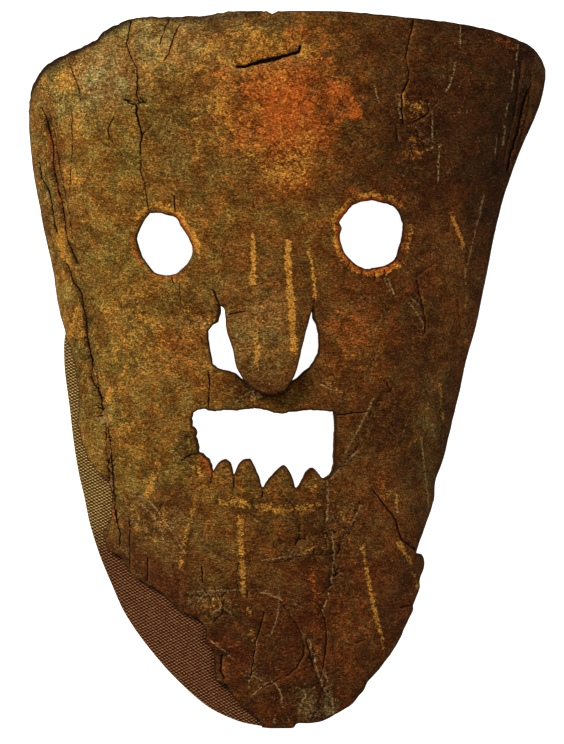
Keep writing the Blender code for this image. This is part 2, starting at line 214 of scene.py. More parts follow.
TOP_LEFT = [
    (-0.500, 0.363), (-0.495, 0.392), (-0.481, 0.413), (-0.464, 0.427), (-0.435, 0.439),
    (-0.410, 0.447), (-0.372, 0.459), (-0.352, 0.473), (-0.302, 0.489), (-0.268, 0.492),
    (-0.162, 0.493), (-0.129, 0.498), (-0.081, 0.500), (-0.040, 0.500),
]
TOP_NICK = [(-0.040, 0.500), (-0.029, 0.496), (-0.017, 0.500)]
TOP_RIGHT = [
    (-0.017, 0.500), (0.083, 0.500), (0.198, 0.494), (0.314, 0.485), (0.391, 0.475),
    (0.449, 0.461), (0.481, 0.447), (0.500, 0.422), (0.496, 0.396),
]
RIGHT_CHEEK = (0.396, -0.182)
JAW = [
    (0.284, -0.182), (0.264, -0.224), (0.251, -0.256), (0.260, -0.257), (0.267, -0.266),
    (0.265, -0.278), (0.257, -0.294), (0.257, -0.305), (0.244, -0.329), (0.244, -0.337),
    (0.230, -0.358), (0.212, -0.385), (0.185, -0.413), (0.158, -0.435), (0.144, -0.451),
    (0.123, -0.468), (0.092, -0.481), (0.062, -0.492), (0.019, -0.494), (0.012, -0.499),
    (-0.006, -0.500), (-0.029, -0.500), (-0.048, -0.499),
]
TORN_EDGE = [
    (-0.048, -0.499), (-0.058, -0.486), (-0.085, -0.471), (-0.102, -0.458), (-0.115, -0.441),
    (-0.139, -0.431), (-0.139, -0.412), (-0.142, -0.392), (-0.158, -0.378), (-0.156, -0.360),
    (-0.173, -0.347), (-0.210, -0.333), (-0.248, -0.308), (-0.293, -0.290), (-0.308, -0.277),
    (-0.323, -0.260), (-0.345, -0.253), (-0.358, -0.229), (-0.348, -0.218), (-0.339, -0.203),
    (-0.337, -0.175), (-0.343, -0.156), (-0.368, -0.140), (-0.385, -0.123), (-0.395, -0.100),
    (-0.404, -0.076), (-0.402, -0.030), (-0.410, 0.008), (-0.419, 0.032), (-0.427, 0.048),
    (-0.431, 0.060),
]
CLOTH_FREE = [
    (-0.428, 0.050), (-0.430, 0.036), (-0.429, 0.008), (-0.425, -0.020), (-0.418, -0.055),
    (-0.411, -0.100), (-0.401, -0.145), (-0.390, -0.180), (-0.379, -0.217), (-0.361, -0.259),
    (-0.337, -0.301), (-0.310, -0.343), (-0.269, -0.385), (-0.219, -0.427), (-0.154, -0.469),
    (-0.094, -0.490), (-0.050, -0.497),
]
CLOTH_HIDDEN = [
    (-0.050, -0.497), (0.000, -0.492), (0.024, -0.475), (-0.004, -0.458), (-0.048, -0.440),
    (-0.075, -0.412), (-0.085, -0.375), (-0.098, -0.332), (-0.158, -0.296), (-0.235, -0.262),
    (-0.271, -0.236), (-0.281, -0.203), (-0.281, -0.161), (-0.302, -0.130), (-0.331, -0.106),
    (-0.345, -0.069), (-0.346, -0.020), (-0.360, 0.036), (-0.379, 0.071), (-0.400, 0.078),
    (-0.414, 0.068), (-0.428, 0.050),
]
TONGUE = [
    (-0.500, 0.000), (-0.440, 0.050), (-0.430, 0.120), (-0.418, 0.270), (-0.352, 0.490), (-0.310, 0.690),
    (-0.220, 0.849), (-0.103, 0.950), (0.066, 1.000), (0.193, 0.961), (0.278, 0.849), (0.341, 0.682),
    (0.394, 0.447), (0.447, 0.223), (0.500, 0.027),
]
CHEEKS = [((-0.205, 0.035), (0.110, 0.085)), ((0.138, 0.040), (0.110, 0.085))]
BROWS = [((-0.230, 0.262), (0.130, 0.050)), ((0.165, 0.272), (0.130, 0.050))]
CHIN = ((-0.035, -0.300), (0.160, 0.100))

# The holes in the front view
LEFT_EYE_EDGE = [
    (149, 215), (158, 215), (167, 217), (176, 220), (180, 227), (186, 236), (191, 245), (192, 255),
    (189, 262), (180, 271), (174, 275), (166, 276), (155, 274), (148, 267), (142, 259), (138, 249),
    (136, 240), (139, 231), (143, 223),
]
RIGHT_EYE_EDGE = [
    (403, 238), (404, 227), (400, 215), (397, 211), (391, 207), (379, 204), (367, 203), (355, 207),
    (346, 215), (340, 224), (342, 230), (340, 238), (343, 249), (349, 259), (357, 266), (362, 268),
    (368, 270), (378, 268), (386, 267), (397, 259), (400, 248),
]
NOSE_GAP_EDGE = [
    (314, 319), (317, 326), (319, 335), (319, 345), (318, 354), (314, 362), (310, 368), (303, 373),
    (297, 379), (289, 384), (280, 389), (262, 389), (246, 382), (235, 374), (226, 371), (217, 368),
    (213, 364), (211, 354), (209, 345), (208, 331), (212, 325), (217, 322), (219, 314),
]
MOUTH_UPPER = [
    (193, 413), (198, 410), (206, 409), (211, 411), (218, 411), (224, 410), (237, 410), (255, 408),
    (267, 410), (272, 412), (282, 414), (289, 412), (311, 410), (334, 412), (335, 428), (334, 443),
    (334, 464), (332, 472),
]
MOUTH_TEETH = [
    (332, 472), (330, 475), (325, 478), (322, 477), (318, 472), (315, 469), (311, 468), (306, 472),
    (303, 478), (299, 485), (296, 487), (293, 478), (290, 471), (286, 466), (283, 465), (278, 469),
    (272, 475), (266, 482), (263, 487), (260, 478), (257, 471), (253, 463), (251, 459), (245, 459),
    (241, 461), (238, 465), (234, 474), (232, 466), (230, 462), (226, 459), (222, 460), (219, 462),
    (216, 466), (213, 471),
]
MOUTH_LEFT = [
    (213, 471), (212, 466), (210, 460), (204, 455), (199, 452), (199, 444), (196, 437), (197, 431),
    (193, 426), (192, 419), (193, 413),
]

# The forehead tear in the front view, with its widest opening and its depth
TEAR_LINE = [(239, 69.5), (247, 68.5), (257, 66), (268, 63), (280, 60), (290, 57.5), (299, 54.5), (300, 50)]
TEAR_OPENING = 0.0016
TEAR_DEPTH = 0.0017
TEAR_REACH = 0.004

# Open cracks in the front view, each with how far it gapes
LEFT_FOLD = [
    (41, 108), (47, 121), (49, 130), (53, 150), (53, 164), (56, 179), (58, 190), (61, 201), (64, 215),
    (67, 239), (72, 251), (77, 263),
]
LEFT_FOLD_LOWER = [
    (67, 266), (70, 272), (73, 282), (81, 293), (83, 306), (86, 319), (87, 335), (93, 364), (91, 376),
    (101, 395), (103, 407),
]
LEFT_JAW_TEAR = [
    (109, 430), (111, 445), (112, 461), (114, 489), (115, 501), (117, 520), (120, 532), (120, 546),
]
RIM_FOLD = [(38, 163), (43, 182), (49, 192), (52, 209), (53, 218), (56, 231)]
RIGHT_FOLD = [(527, 92), (524, 103), (519, 125), (515, 144), (510, 159), (508, 170)]
CRACKS = [
    (0.7, [(132, 24), (128, 46), (132, 59), (138, 72), (138, 98), (141, 105)]),
    (1.25, [(137, 107), (138, 117), (140, 126)]), (0.8, [(140, 126), (142, 133)]),
    (1.15, [(142, 133), (143, 140), (141, 147)]), (0.8, [(125, 101), (131, 103)]),
    (0.9, [(143, 101), (146, 105)]),
    (0.6, [(141, 147), (142, 161), (142, 174), (146, 185), (148, 202), (150, 212)]),
    (0.7, [(142, 137), (147, 133), (152, 127)]), (0.7, [(126, 102), (135, 106), (145, 104)]),
    (0.6, [(170, 22), (164, 37), (161, 46)]), (0.8, [(180, 28), (174, 41), (170, 55), (165, 63)]),
    (0.5, [(71, 66), (75, 78), (80, 91), (81, 102)]), (0.8, [(114, 121), (109, 131), (110, 138)]),
    (0.5, [(110, 138), (115, 146), (122, 155)]), (0.8, [(175, 198), (176, 212)]),
    (0.7, [(413, 21), (405, 60), (408, 79), (401, 96)]), (0.9, [(401, 96), (401, 112), (402, 124)]),
    (0.7, [(426, 104), (427, 115), (413, 124)]), (0.8, [(395, 130), (397, 142)]),
    (0.7, [(409, 148), (412, 156)]), (1.1, [(214, 291), (217, 298), (220, 305)]),
    (0.8, [(209, 372), (210, 385), (209, 406)]), (0.6, [(229, 314), (238, 312), (246, 311)]),
    (0.7, [(416, 281), (424, 318), (424, 333)]), (0.5, [(431, 266), (416, 277)]), (0.8, LEFT_FOLD),
    (0.8, LEFT_FOLD_LOWER), (0.75, LEFT_JAW_TEAR), (0.8, RIM_FOLD), (1.3, RIGHT_FOLD),
    (0.4, [(98, 400), (100, 438)]), (0.6, [(130, 521), (130, 567)]), (0.7, [(148, 557), (148, 578)]),
    (0.8, [(202, 566), (203, 580)]), (0.8, [(213, 472), (211, 482)]), (0.8, [(234, 475), (234, 486)]),
    (0.8, [(263, 488), (262, 496)]), (0.8, [(337, 415), (350, 413), (364, 412)]),
    (0.8, [(264, 612), (257, 637), (253, 661), (250, 678)]),
    (0.6, [(284, 605), (297, 625), (303, 641), (303, 654), (291, 671), (264, 685)]),
    (0.6, [(306, 638), (312, 660), (319, 682)]), (0.6, [(401, 198), (397, 205)]),
    (0.9, [(371, 488), (384, 504), (395, 519), (401, 538), (410, 545), (418, 552)]),
    (0.8, [(182, 460), (190, 455), (199, 453)]), (1.3, [(109, 549), (115, 553)]),
    (0.9, [(222, 655), (221, 668), (224, 676)]), (0.7, [(400, 607), (414, 604)]),
    (0.6, [(357, 642), (364, 639)]), (0.7, [(171, 277), (174, 283)]), (0.6, [(362, 272), (361, 280)]),
    (0.6, [(374, 273), (374, 280)]), (0.6, [(384, 271), (384, 277)]), (0.5, [(314, 296), (314, 306)]),
    (0.6, [(322, 610), (326, 630), (325, 655), (320, 678)]), (0.5, [(180, 285), (181, 300)]),
    (0.6, [(224, 600), (222, 612), (214, 620)]), (0.5, [(165, 500), (156, 516)]),
    (0.5, [(290, 500), (300, 520), (296, 545)]), (0.4, [(456, 290), (459, 330), (455, 360)]),
    (0.5, [(72, 110), (73, 150), (70, 190)]), (0.5, [(240, 560), (236, 575), (239, 588)]),
    (0.6, [(356, 205), (353, 198)]), (0.5, [(370, 203), (371, 197)]), (0.6, [(341, 227), (335, 225)]),
    (0.6, [(343, 250), (338, 254)]), (0.6, [(351, 262), (346, 268)]), (0.5, [(399, 262), (404, 267)]),
    (0.5, [(50, 114), (56, 140), (60, 165), (65, 190), (70, 216), (73, 238)]),
    (0.6, [(92, 356), (97, 372), (99, 390), (103, 408)]), (0.5, [(106, 424), (107, 450), (110, 480)]),
    (0.5, [(531, 70), (527, 110), (518, 148)]), (0.5, [(521, 60), (514, 110), (503, 160)]),
]

# Creases in the front view, which are rows of short ticks across a shallow valley
SEAMS = [
    [(390, 386), (375, 410), (364, 432), (356, 449), (345, 462), (334, 472)],
    [(330, 474), (326, 497), (327, 515), (325, 540)],
    [(331, 530), (333, 557), (329, 585), (321, 612)],
    [(360, 505), (350, 526), (335, 554), (336, 578)],
    [(250, 561), (278, 561), (302, 554), (323, 552)],
    [(188, 594), (225, 591), (243, 590), (262, 593)],
    [(276, 543), (300, 538), (323, 532)],
    [(98, 385), (104, 420), (109, 440), (112, 470), (115, 500)],
    [(403, 126), (415, 135), (425, 150)],
    [(310, 637), (315, 661), (321, 678), (331, 705)],
]
CREASES = [
    [(200, 600), (214, 604), (224, 612)], [(197, 615), (205, 612), (216, 618)], [(188, 437), (196, 434)],
    [(180, 447), (190, 452), (197, 456)], [(45, 120), (60, 118), (80, 100)],
    [(170, 300), (182, 330), (178, 350)], [(354, 586), (351, 597), (347, 608)],
    [(232, 398), (250, 397), (262, 400)], [(500, 110), (497, 150), (490, 190)],
]

# Lifted pale fibres in the front view
PALE_LINES = [
    [(257, 640), (254, 655), (251, 671), (249, 684)], [(279, 588), (278, 612), (272, 631)],
    [(309, 637), (315, 661), (321, 680), (327, 695)], [(326, 676), (331, 689), (332, 701), (333, 711)],
    [(252, 694), (262, 686), (272, 680), (280, 690), (283, 706)], [(300, 704), (306, 694), (316, 684)],
    [(188, 592), (205, 590), (222, 589), (244, 588)], [(262, 591), (272, 594), (281, 598)],
    [(331, 478), (345, 463), (357, 450)], [(262, 559), (285, 556), (312, 551)],
    [(360, 505), (352, 522), (344, 538)], [(332, 530), (334, 557), (330, 585), (322, 612)],
    [(327, 480), (328, 500), (326, 524)], [(459, 28), (459, 49)], [(454, 66), (450, 82), (445, 93)],
    [(374, 90), (378, 104)], [(438, 149), (437, 182)], [(431, 115), (431, 149)], [(517, 46), (515, 62)],
    [(42, 168), (46, 185), (52, 204), (56, 228)], [(399, 97), (398, 110), (400, 121)],
    [(101, 418), (108, 420), (109, 428)], [(180, 455), (188, 462), (194, 468)],
    [(212, 640), (222, 647), (230, 655)], [(199, 600), (206, 592), (214, 596)],
    [(373, 398), (362, 420), (345, 452)], [(131, 494), (150, 500), (172, 530)],
    [(140, 500), (158, 520), (165, 540)], [(176, 536), (186, 552)], [(421, 440), (425, 472), (428, 505)],
    [(396, 495), (397, 514)], [(213, 612), (222, 606), (230, 610)], [(207, 628), (206, 636), (204, 642)],
    [(214, 676), (222, 680), (226, 684)], [(496, 135), (495, 154)], [(322, 385), (335, 392)],
    [(388, 281), (391, 289), (394, 296)], [(408, 303), (415, 312), (421, 322), (424, 333)],
    [(483, 196), (475, 230), (464, 276)], [(384, 280), (388, 290)], [(412, 300), (418, 306)],
    [(513, 72), (511, 92)], [(507, 106), (505, 116)], [(504, 128), (502, 146)], [(95, 362), (98, 378)],
    [(103, 412), (106, 422)], [(110, 436), (111, 452)], [(112, 470), (113, 492)],
    [(329, 690), (332, 700), (334, 712)], [(97, 418), (103, 421)], [(119, 545), (126, 552)],
]

# Bands of old paint in the front view: line, half width in steps, and strength
OCHRE_BANDS = [
    ([(253, 238), (254, 284)], 3.4, 0.78), ([(256, 330), (258, 363)], 2.6, 0.70),
    ([(288, 243), (288, 267), (290, 292), (292, 314), (294, 345)], 3.8, 0.84),
    ([(308, 251), (312, 266), (314, 283), (314, 298)], 1.9, 0.78),
    ([(78, 308), (74, 322), (70, 336)], 2.4, 1.00), ([(58, 234), (61, 246), (64, 258)], 2.6, 0.90),
    ([(111, 390), (107, 402)], 3.2, 0.80), ([(129, 363), (124, 375)], 3.0, 0.60),
    ([(160, 462), (154, 477), (148, 494)], 4.2, 0.58),
    ([(196, 498), (190, 520), (184, 547), (181, 566)], 3.4, 0.50),
    ([(240, 515), (242, 550), (243, 590)], 3.6, 0.64), ([(249, 606), (251, 637)], 4.2, 0.44),
    ([(362, 547), (368, 578), (373, 604), (379, 626), (384, 647)], 2.8, 0.70),
    ([(399, 542), (410, 562)], 3.0, 0.60), ([(413, 572), (419, 588)], 3.0, 0.55),
    ([(396, 497), (397, 512)], 2.0, 0.50), ([(450, 216), (457, 230), (463, 247)], 2.2, 0.85),
    ([(465, 267), (465, 342)], 1.8, 0.40), ([(439, 384), (441, 402), (443, 418)], 2.0, 0.60),
    ([(414, 386), (416, 406)], 2.0, 0.45), ([(438, 142), (437, 182)], 1.6, 0.35),
    ([(218, 502), (232, 499), (245, 503)], 4.5, 0.60), ([(250, 504), (270, 507), (285, 511)], 4.5, 0.62),
    ([(292, 508), (305, 506), (318, 504)], 3.5, 0.55), ([(199, 468), (203, 474)], 3.2, 0.85),
    ([(296, 470), (308, 489), (316, 487)], 3.5, 0.50), ([(303, 552), (312, 549)], 3.5, 0.60),
    ([(404, 452), (415, 440)], 2.4, 0.45),
    ([(198, 78), (203, 56), (220, 42), (244, 34), (262, 40)], 6.0, 0.50),
    ([(220, 62), (236, 66), (252, 74)], 6.0, 0.55), ([(402, 96), (400, 112), (402, 122)], 2.4, 0.62),
    ([(76, 110), (78, 150), (74, 190)], 3.5, 0.42), ([(306, 388), (330, 385), (345, 394)], 3.0, 0.45),
    ([(44, 76), (42, 110), (46, 135)], 3.0, 0.55), ([(334, 210), (336, 240), (342, 262)], 2.0, 0.40),
    ([(450, 268), (440, 300)], 2.0, 0.35), ([(380, 486), (393, 496)], 4.0, 0.45),
    ([(147, 210), (154, 205), (164, 203), (176, 208)], 1.3, 0.74),
    ([(197, 70), (196, 120), (200, 160)], 3.0, 0.50), ([(245, 150), (262, 168), (280, 182)], 4.0, 0.50),
    ([(326, 70), (344, 92)], 3.0, 0.45),
]
RED_BANDS = [
    ([(311, 564), (314, 590), (318, 626)], 3.6, 0.46), ([(112, 488), (113, 510), (112, 540)], 2.0, 0.48),
    ([(338, 88), (346, 100), (354, 116)], 9.0, 0.62),
    ([(47, 121), (53, 164), (61, 201), (70, 250)], 3.5, 0.52),
    ([(211, 292), (215, 300), (216, 312)], 2.4, 0.44), ([(290, 40), (312, 36), (330, 50)], 10.0, 0.48),
    ([(200, 455), (207, 462), (212, 474)], 2.4, 0.50), ([(263, 470), (263, 492)], 2.5, 0.45),
    ([(206, 628), (205, 640)], 2.4, 0.46), ([(500, 42), (512, 48)], 5.0, 0.45),
    ([(449, 214), (456, 230), (462, 246)], 2.6, 0.60), ([(262, 60), (290, 66), (316, 80)], 8.0, 0.50),
]

# Broad areas of broken paint in the front view: middle, reach and strength
OCHRE_PATCHES = [
    ((70, 86), (14, 20), 0.70), ((52, 110), (10, 30), 0.50), ((66, 245), (9, 60), 0.52),
    ((80, 322), (12, 34), 0.50), ((226, 108), (26, 52), 0.46), ((262, 46), (60, 20), 0.46),
    ((287, 170), (32, 22), 0.58), ((300, 143), (26, 22), 0.52), ((306, 52), (9, 9), 0.75),
    ((268, 80), (40, 26), 0.46), ((150, 60), (60, 30), 0.38), ((75, 180), (12, 20), 0.48),
    ((138, 330), (60, 60), 0.38), ((200, 325), (24, 26), 0.44), ((414, 110), (10, 9), 0.62),
    ((414, 150), (14, 20), 0.42), ((128, 440), (40, 60), 0.34), ((262, 505), (60, 12), 0.34),
    ((196, 470), (10, 8), 0.50), ((340, 520), (40, 30), 0.28), ((240, 110), (90, 70), 0.34),
    ((150, 520), (34, 30), 0.36), ((215, 604), (24, 14), 0.44), ((250, 398), (14, 8), 0.52),
    ((262, 320), (20, 30), 0.42), ((140, 222), (10, 12), 0.55), ((350, 365), (30, 20), 0.30),
]
RED_PATCHES = [
    ((286, 112), (34, 50), 0.84), ((262, 84), (40, 28), 0.66), ((300, 140), (26, 24), 0.62),
    ((288, 178), (28, 18), 0.45), ((240, 128), (24, 44), 0.56), ((338, 100), (24, 34), 0.56),
    ((182, 345), (34, 36), 0.42), ((224, 84), (20, 30), 0.50), ((318, 60), (30, 20), 0.46),
    ((355, 335), (34, 44), 0.40), ((414, 150), (16, 26), 0.42), ((150, 410), (44, 44), 0.34),
    ((68, 168), (12, 60), 0.38), ((208, 470), (16, 14), 0.40), ((232, 650), (20, 22), 0.32),
    ((340, 620), (60, 60), 0.26), ((262, 500), (60, 20), 0.34), ((380, 480), (20, 30), 0.36),
]

# Colours across the front view, lighter at the left and darker at the right (partly the leather's own
# colour, partly painted light and shade), and at the chin
ACROSS = [
    (50, (142, 105, 48)), (120, (125, 93, 39)), (200, (116, 82, 34)), (270, (110, 72, 28)),
    (350, (90, 54, 20)), (430, (70, 39, 14)), (530, (58, 32, 12)),
]
CHIN_COLOUR = (70, 33, 11)
CHIN_START = 480
CHIN_FADE = 150
CHIN_SHARE = 0.85
OCHRE = (232, 166, 64)
OCHRE_SHADE = (138, 86, 28)
RED_PAINT = (216, 112, 38)
RED_SHADE = (146, 62, 18)
PALE = (190, 156, 102)
# The dark of open cracks, also used for painted shade in creases and wrinkles
CRACK_AND_SHADE_DARK = (20, 9, 3)
EDGE_DARK = (38, 19, 8)
LIP_BROWN = (150, 92, 40)
FLESH_DARK = (96, 68, 38)
FLESH_LIGHT = (140, 106, 64)
FLESH_FIBRE = (166, 132, 88)
CUT_DARK = (34, 17, 7)
CUT_FIBRE = (112, 66, 28)

# The cloth: its colour above and below a line of the front view, its back, its stains and its dust
CLOTH_UPPER = (128, 100, 54)
CLOTH_LOWER = (98, 61, 35)
CLOTH_LOWER_START = 525
CLOTH_LOWER_FADE = 30
CLOTH_BACK = (128, 98, 58)
CLOTH_STAIN = (74, 32, 18)
CLOTH_DUST = (190, 160, 116)

# Factors on the red, green and blue of a piece's own colour, dark before bright and warm before cool; the
# brightest flecks and threads get painted highlights, and the threads painted shade in the weave's hollows
FLECKS = ((0.38, 0.32, 0.22), (1.42, 1.44, 1.36))
FLECK_HIGHLIGHT = (3.0, 3.1, 2.8)
MOTTLES = ((0.66, 0.58, 0.46), (1.24, 1.30, 1.34))
HUES = ((1.10, 0.94, 0.80), (0.93, 1.09, 1.14))
THREAD_SHADING = ((0.22, 0.15, 0.10), (0.90, 0.88, 0.82))
THREAD_HIGHLIGHT = (2.3, 2.7, 3.1)

# How far marks stray in the front view, with the length and the seed of their waves
MARK_STRAYS = ((9, 0.009, 21.0), (5, 0.0026, 23.0))

# Lights, as name, place, size, power in watts and colour, and the room's own light
LIGHTS = (
    ("soft_key", (-0.85, 0.80, 1.05), 0.35, 31.0, (1.0, 0.95, 0.87)),
    ("soft_fill", (0.9, -0.35, 1.3), 0.8, 12.0, (1.0, 0.95, 0.88)),
)
ROOM_COLOUR = (1.0, 0.97, 0.92, 1.0)
ROOM_STRENGTH = 0.22

# The table under the mask, just below its rims, and the camera above. A sensor is in millimetres.
TABLE_SIZE = 6.0
TABLE_DROP = 0.0002
TABLE_COLOUR = (0.45, 0.43, 0.40, 1.0)
CAMERA_DISTANCE = 3.0
SENSOR_WIDTH = 36.0

# Broad stains, and two patches of painted shade, in the front view: middle, reach, lean in degrees, colour,
# strength
STAINS_AND_SHADE = [
    ((90, 82), (50, 32), -20, (158, 134, 88), 0.80), ((160, 44), (56, 26), 0, (156, 128, 78), 0.75),
    ((72, 92), (20, 34), 0, (172, 134, 62), 0.55), ((60, 235), (14, 80), -6, (160, 122, 56), 0.70),
    ((180, 130), (26, 60), 0, (98, 66, 30), 0.45), ((268, 98), (70, 66), 0, (146, 92, 38), 0.60),
    ((262, 46), (60, 22), 0, (150, 108, 42), 0.45), ((290, 168), (34, 26), 0, (150, 88, 30), 0.50),
    ((216, 92), (20, 56), 0, (132, 92, 44), 0.40), ((230, 30), (40, 12), 0, (92, 66, 38), 0.45),
    ((182, 348), (40, 38), 0, (150, 98, 40), 0.60), ((125, 300), (60, 60), 0, (128, 94, 38), 0.40),
    ((358, 340), (42, 50), 0, (118, 70, 28), 0.60), ((426, 412), (18, 44), 12, (108, 80, 36), 0.80),
    ((430, 478), (11, 30), 0, (104, 78, 36), 0.75), ((446, 300), (42, 90), 0, (112, 68, 28), 0.75),
    ((370, 505), (54, 54), 0, (118, 74, 32), 0.70), ((368, 615), (50, 66), 10, (110, 64, 26), 0.70),
    ((288, 118), (40, 46), -10, (188, 98, 34), 0.62), ((270, 222), (70, 20), 0, (126, 86, 34), 0.50),
    ((150, 525), (50, 30), 20, (96, 64, 30), 0.50), ((262, 322), (32, 42), 0, (118, 92, 50), 0.60),
    # The two patches at the nose tip are painted shade: they darken the tongue's tip and the skin just
    # under it
    ((268, 382), (38, 13), 0, (74, 38, 13), 0.85), ((268, 364), (34, 12), 0, (92, 52, 20), 0.50),
    ((258, 268), (44, 26), 0, (98, 60, 24), 0.35), ((234, 398), (28, 10), 0, (116, 84, 36), 0.60),
    ((155, 528), (44, 34), 20, (106, 74, 36), 0.50), ((172, 508), (24, 24), 0, (82, 44, 18), 0.50),
    ((160, 572), (60, 10), 32, (86, 42, 18), 0.75), ((270, 480), (64, 18), 0, (106, 74, 30), 0.50),
    ((214, 604), (26, 16), 0, (118, 80, 40), 0.65), ((228, 648), (22, 30), 0, (74, 36, 16), 0.55),
    ((304, 706), (9, 15), 0, (138, 110, 66), 0.65), ((331, 700), (5, 15), -8, (170, 140, 94), 0.80),
    ((392, 600), (24, 50), 20, (90, 50, 20), 0.45), ((532, 104), (9, 60), 10, (104, 66, 32), 0.75),
    ((70, 62), (36, 8), -28, (78, 56, 30), 0.60), ((340, 470), (12, 44), 0, (84, 50, 20), 0.45),
    ((150, 222), (26, 14), 0, (140, 92, 36), 0.45), ((372, 198), (28, 6), 0, (122, 66, 24), 0.55),
    ((62, 166), (5, 60), -9, (96, 52, 22), 0.55), ((110, 470), (8, 60), 0, (104, 66, 28), 0.50),
]

# Narrow stains, and one band of painted shadow, in the front view: line, half width in steps, colour,
# strength
NARROW_STAINS_AND_SHADOW = [
    # The first band is painted shadow: the dark line that the nose tongue's tip casts on the skin under it
    ([(241, 376), (248, 385), (258, 391), (268, 395), (280, 394), (288, 387),
      (294, 377)], 2.6, (40, 20, 8), 0.85),
    ([(29, 92), (38, 77), (47, 67), (62, 58), (75, 53), (95, 44), (105, 34),
      (130, 23)], 4.0, (34, 24, 14), 0.9),
    ([(134, 20), (180, 22), (205, 22), (260, 16)], 2.6, (58, 42, 26), 0.80),
    ([(210, 24), (222, 30), (240, 32), (262, 26), (290, 22)], 5.0, (84, 62, 38), 0.50),
    ([(122, 556), (148, 576), (170, 592), (196, 612)], 4.5, (84, 44, 20), 0.75),
    ([(186, 240), (196, 248), (197, 256)], 1.4, (40, 20, 8), 0.70),
    ([(41, 108), (49, 130), (53, 164), (61, 201), (67, 239), (77, 263)], 2.4, (66, 30, 12), 0.60),
    ([(67, 266), (81, 293), (87, 335), (91, 376), (103, 407)], 2.0, (74, 40, 16), 0.50),
    ([(240, 72), (257, 70), (275, 66), (296, 60)], 3.0, (176, 122, 60), 0.60),
    ([(206, 440), (201, 456), (212, 474)], 3.0, (124, 66, 28), 0.60),
    ([(520, 60), (516, 110), (506, 150)], 3.5, (70, 42, 18), 0.50),
]


def from_view(x, y):
    """A place on the mask from its place in the front view."""
    return (x - MASK_MIDDLE[0]) * VIEW_STEP, (MASK_MIDDLE[1] - y) * VIEW_STEP


def viewed(line):
    return [from_view(*point) for point in line]


def to_view(points):
    """Where places on the mask are in the front view."""
    x = points[:, 0] / VIEW_STEP + MASK_MIDDLE[0]
    y = MASK_MIDDLE[1] - points[:, 1] / VIEW_STEP
    return x, y


def as_light(colour):
    """A seen colour, from 0 to 255, as linear light."""
    share = np.array(colour) / 255
    return np.where(share <= 0.04045, share / 12.92, ((share + 0.055) / 1.055) ** 2.4)


# The moulded surface

def placed(shares):
    return [(x * WIDTH, y * HEIGHT) for x, y in shares]


def smooth_at(where, knots, values):
    """A smooth curve through values at rising knots, held level beyond its two ends."""
    slopes = np.gradient(values, knots)
    where = np.clip(where, knots[0], knots[-1])
    low = np.clip(np.searchsorted(knots, where) - 1, 0, len(knots) - 2)
    span = knots[low + 1] - knots[low]
    t = (where - knots[low]) / span
    start = values[low] * (1 + 2 * t) * (1 - t) ** 2
    end = values[low + 1] * t * t * (3 - 2 * t)
    start_slope = slopes[low] * span * t * (1 - t) ** 2
    end_slope = slopes[low + 1] * span * t * t * (t - 1)
    return start + end + start_slope + end_slope


def rim_x(rim, y):
    points = np.array(placed(rim))[::-1]
    return smooth_at(y, points[:, 1], points[:, 0])


def mound(x, y, centre, spread):
    u = (x - centre[0] * WIDTH) / (spread[0] * WIDTH)
    v = (y - centre[1] * HEIGHT) / (spread[1] * HEIGHT)
    return np.exp(-u * u - v * v)


def inside(points, loop):
    """Which of the points lie inside a closed loop."""
    loop = np.array(loop)
    after = np.roll(loop, -1, axis=0)
    result = np.zeros(len(points), dtype=bool)
    for (x0, y0), (x1, y1) in zip(loop, after):
        if y0 == y1:
            continue
        spans = (y0 > points[:, 1]) != (y1 > points[:, 1])
        crossing = x0 + (points[:, 1] - y0) / (y1 - y0) * (x1 - x0)
        result ^= spans & (points[:, 0] < crossing)
    return result


def divided(points, step):
    """The same open line, with no piece of it longer than the step."""
    result = []
    for (x0, y0), (x1, y1) in zip(points, points[1:]):
        pieces = max(1, math.ceil(math.hypot(x1 - x0, y1 - y0) / step))
        for k in range(pieces):
            share = k / pieces
            result.append((x0 + (x1 - x0) * share, y0 + (y1 - y0) * share))
    result.append(tuple(points[-1]))
    return result


def rounded(points, step):
    """A smooth line through the points, divided into short steps."""
    points = np.array(points, dtype=float)
    before = np.vstack([2 * points[0] - points[1], points[:-1]])
    after = np.vstack([points[1:], 2 * points[-1] - points[-2]])
    result = []
    for k in range(len(points) - 1):
        start = points[k]
        end = points[k + 1]
        length = np.linalg.norm(end - start)
        pieces = max(1, math.ceil(length / step))
        leave = (after[k] - before[k]) / 2
        arrive = (after[k + 1] - before[k + 1]) / 2
        leave *= min(1, length / max(np.linalg.norm(leave), 1e-9))
        arrive *= min(1, length / max(np.linalg.norm(arrive), 1e-9))
        for piece in range(pieces):
            t = piece / pieces
            place = start * (1 + 2 * t) * (1 - t) ** 2 + end * t * t * (3 - 2 * t)
            place = place + leave * t * (1 - t) ** 2 + arrive * t * t * (t - 1)
            result.append(tuple(place))
    result.append(tuple(points[-1]))
    return result


def finder(points):
    """A search tree over places on the mask."""
    tree = kdtree.KDTree(max(1, len(points)))
    for k, (x, y) in enumerate(points):
        tree.insert((x, y, 0), k)
    tree.balance()
    return tree


def distances(points, line_points):
    """How far each point is from the nearest place of a finely divided line."""
    tree = finder(line_points)
    return np.array([tree.find((x, y, 0))[2] for x, y in points])


def nose_place(across, down):
    return NOSE_ROOT[0] + across * NOSE_WIDTH, NOSE_ROOT[1] - down * NOSE_LENGTH


def tongue_line():
    return [nose_place(across, down / NOSE_OVERHANG) for across, down in TONGUE]


def tongue_share(points):
    """How far down the tongue each place is: 0 at its root and off it, 1 at its tip."""
    line = tongue_line()
    near = inside(points, line)
    low = np.min(line, axis=0) - 0.001
    high = np.max(line, axis=0) + 0.001
    close = np.all((points > low) & (points < high), axis=1)
    near[close] |= distances(points[close], divided(line, TONGUE_MARGIN / 3)) < TONGUE_MARGIN
    length = NOSE_LENGTH / NOSE_OVERHANG
    return np.where(near, np.clip((NOSE_ROOT[1] - points[:, 1]) / length, 0, 1), 0)


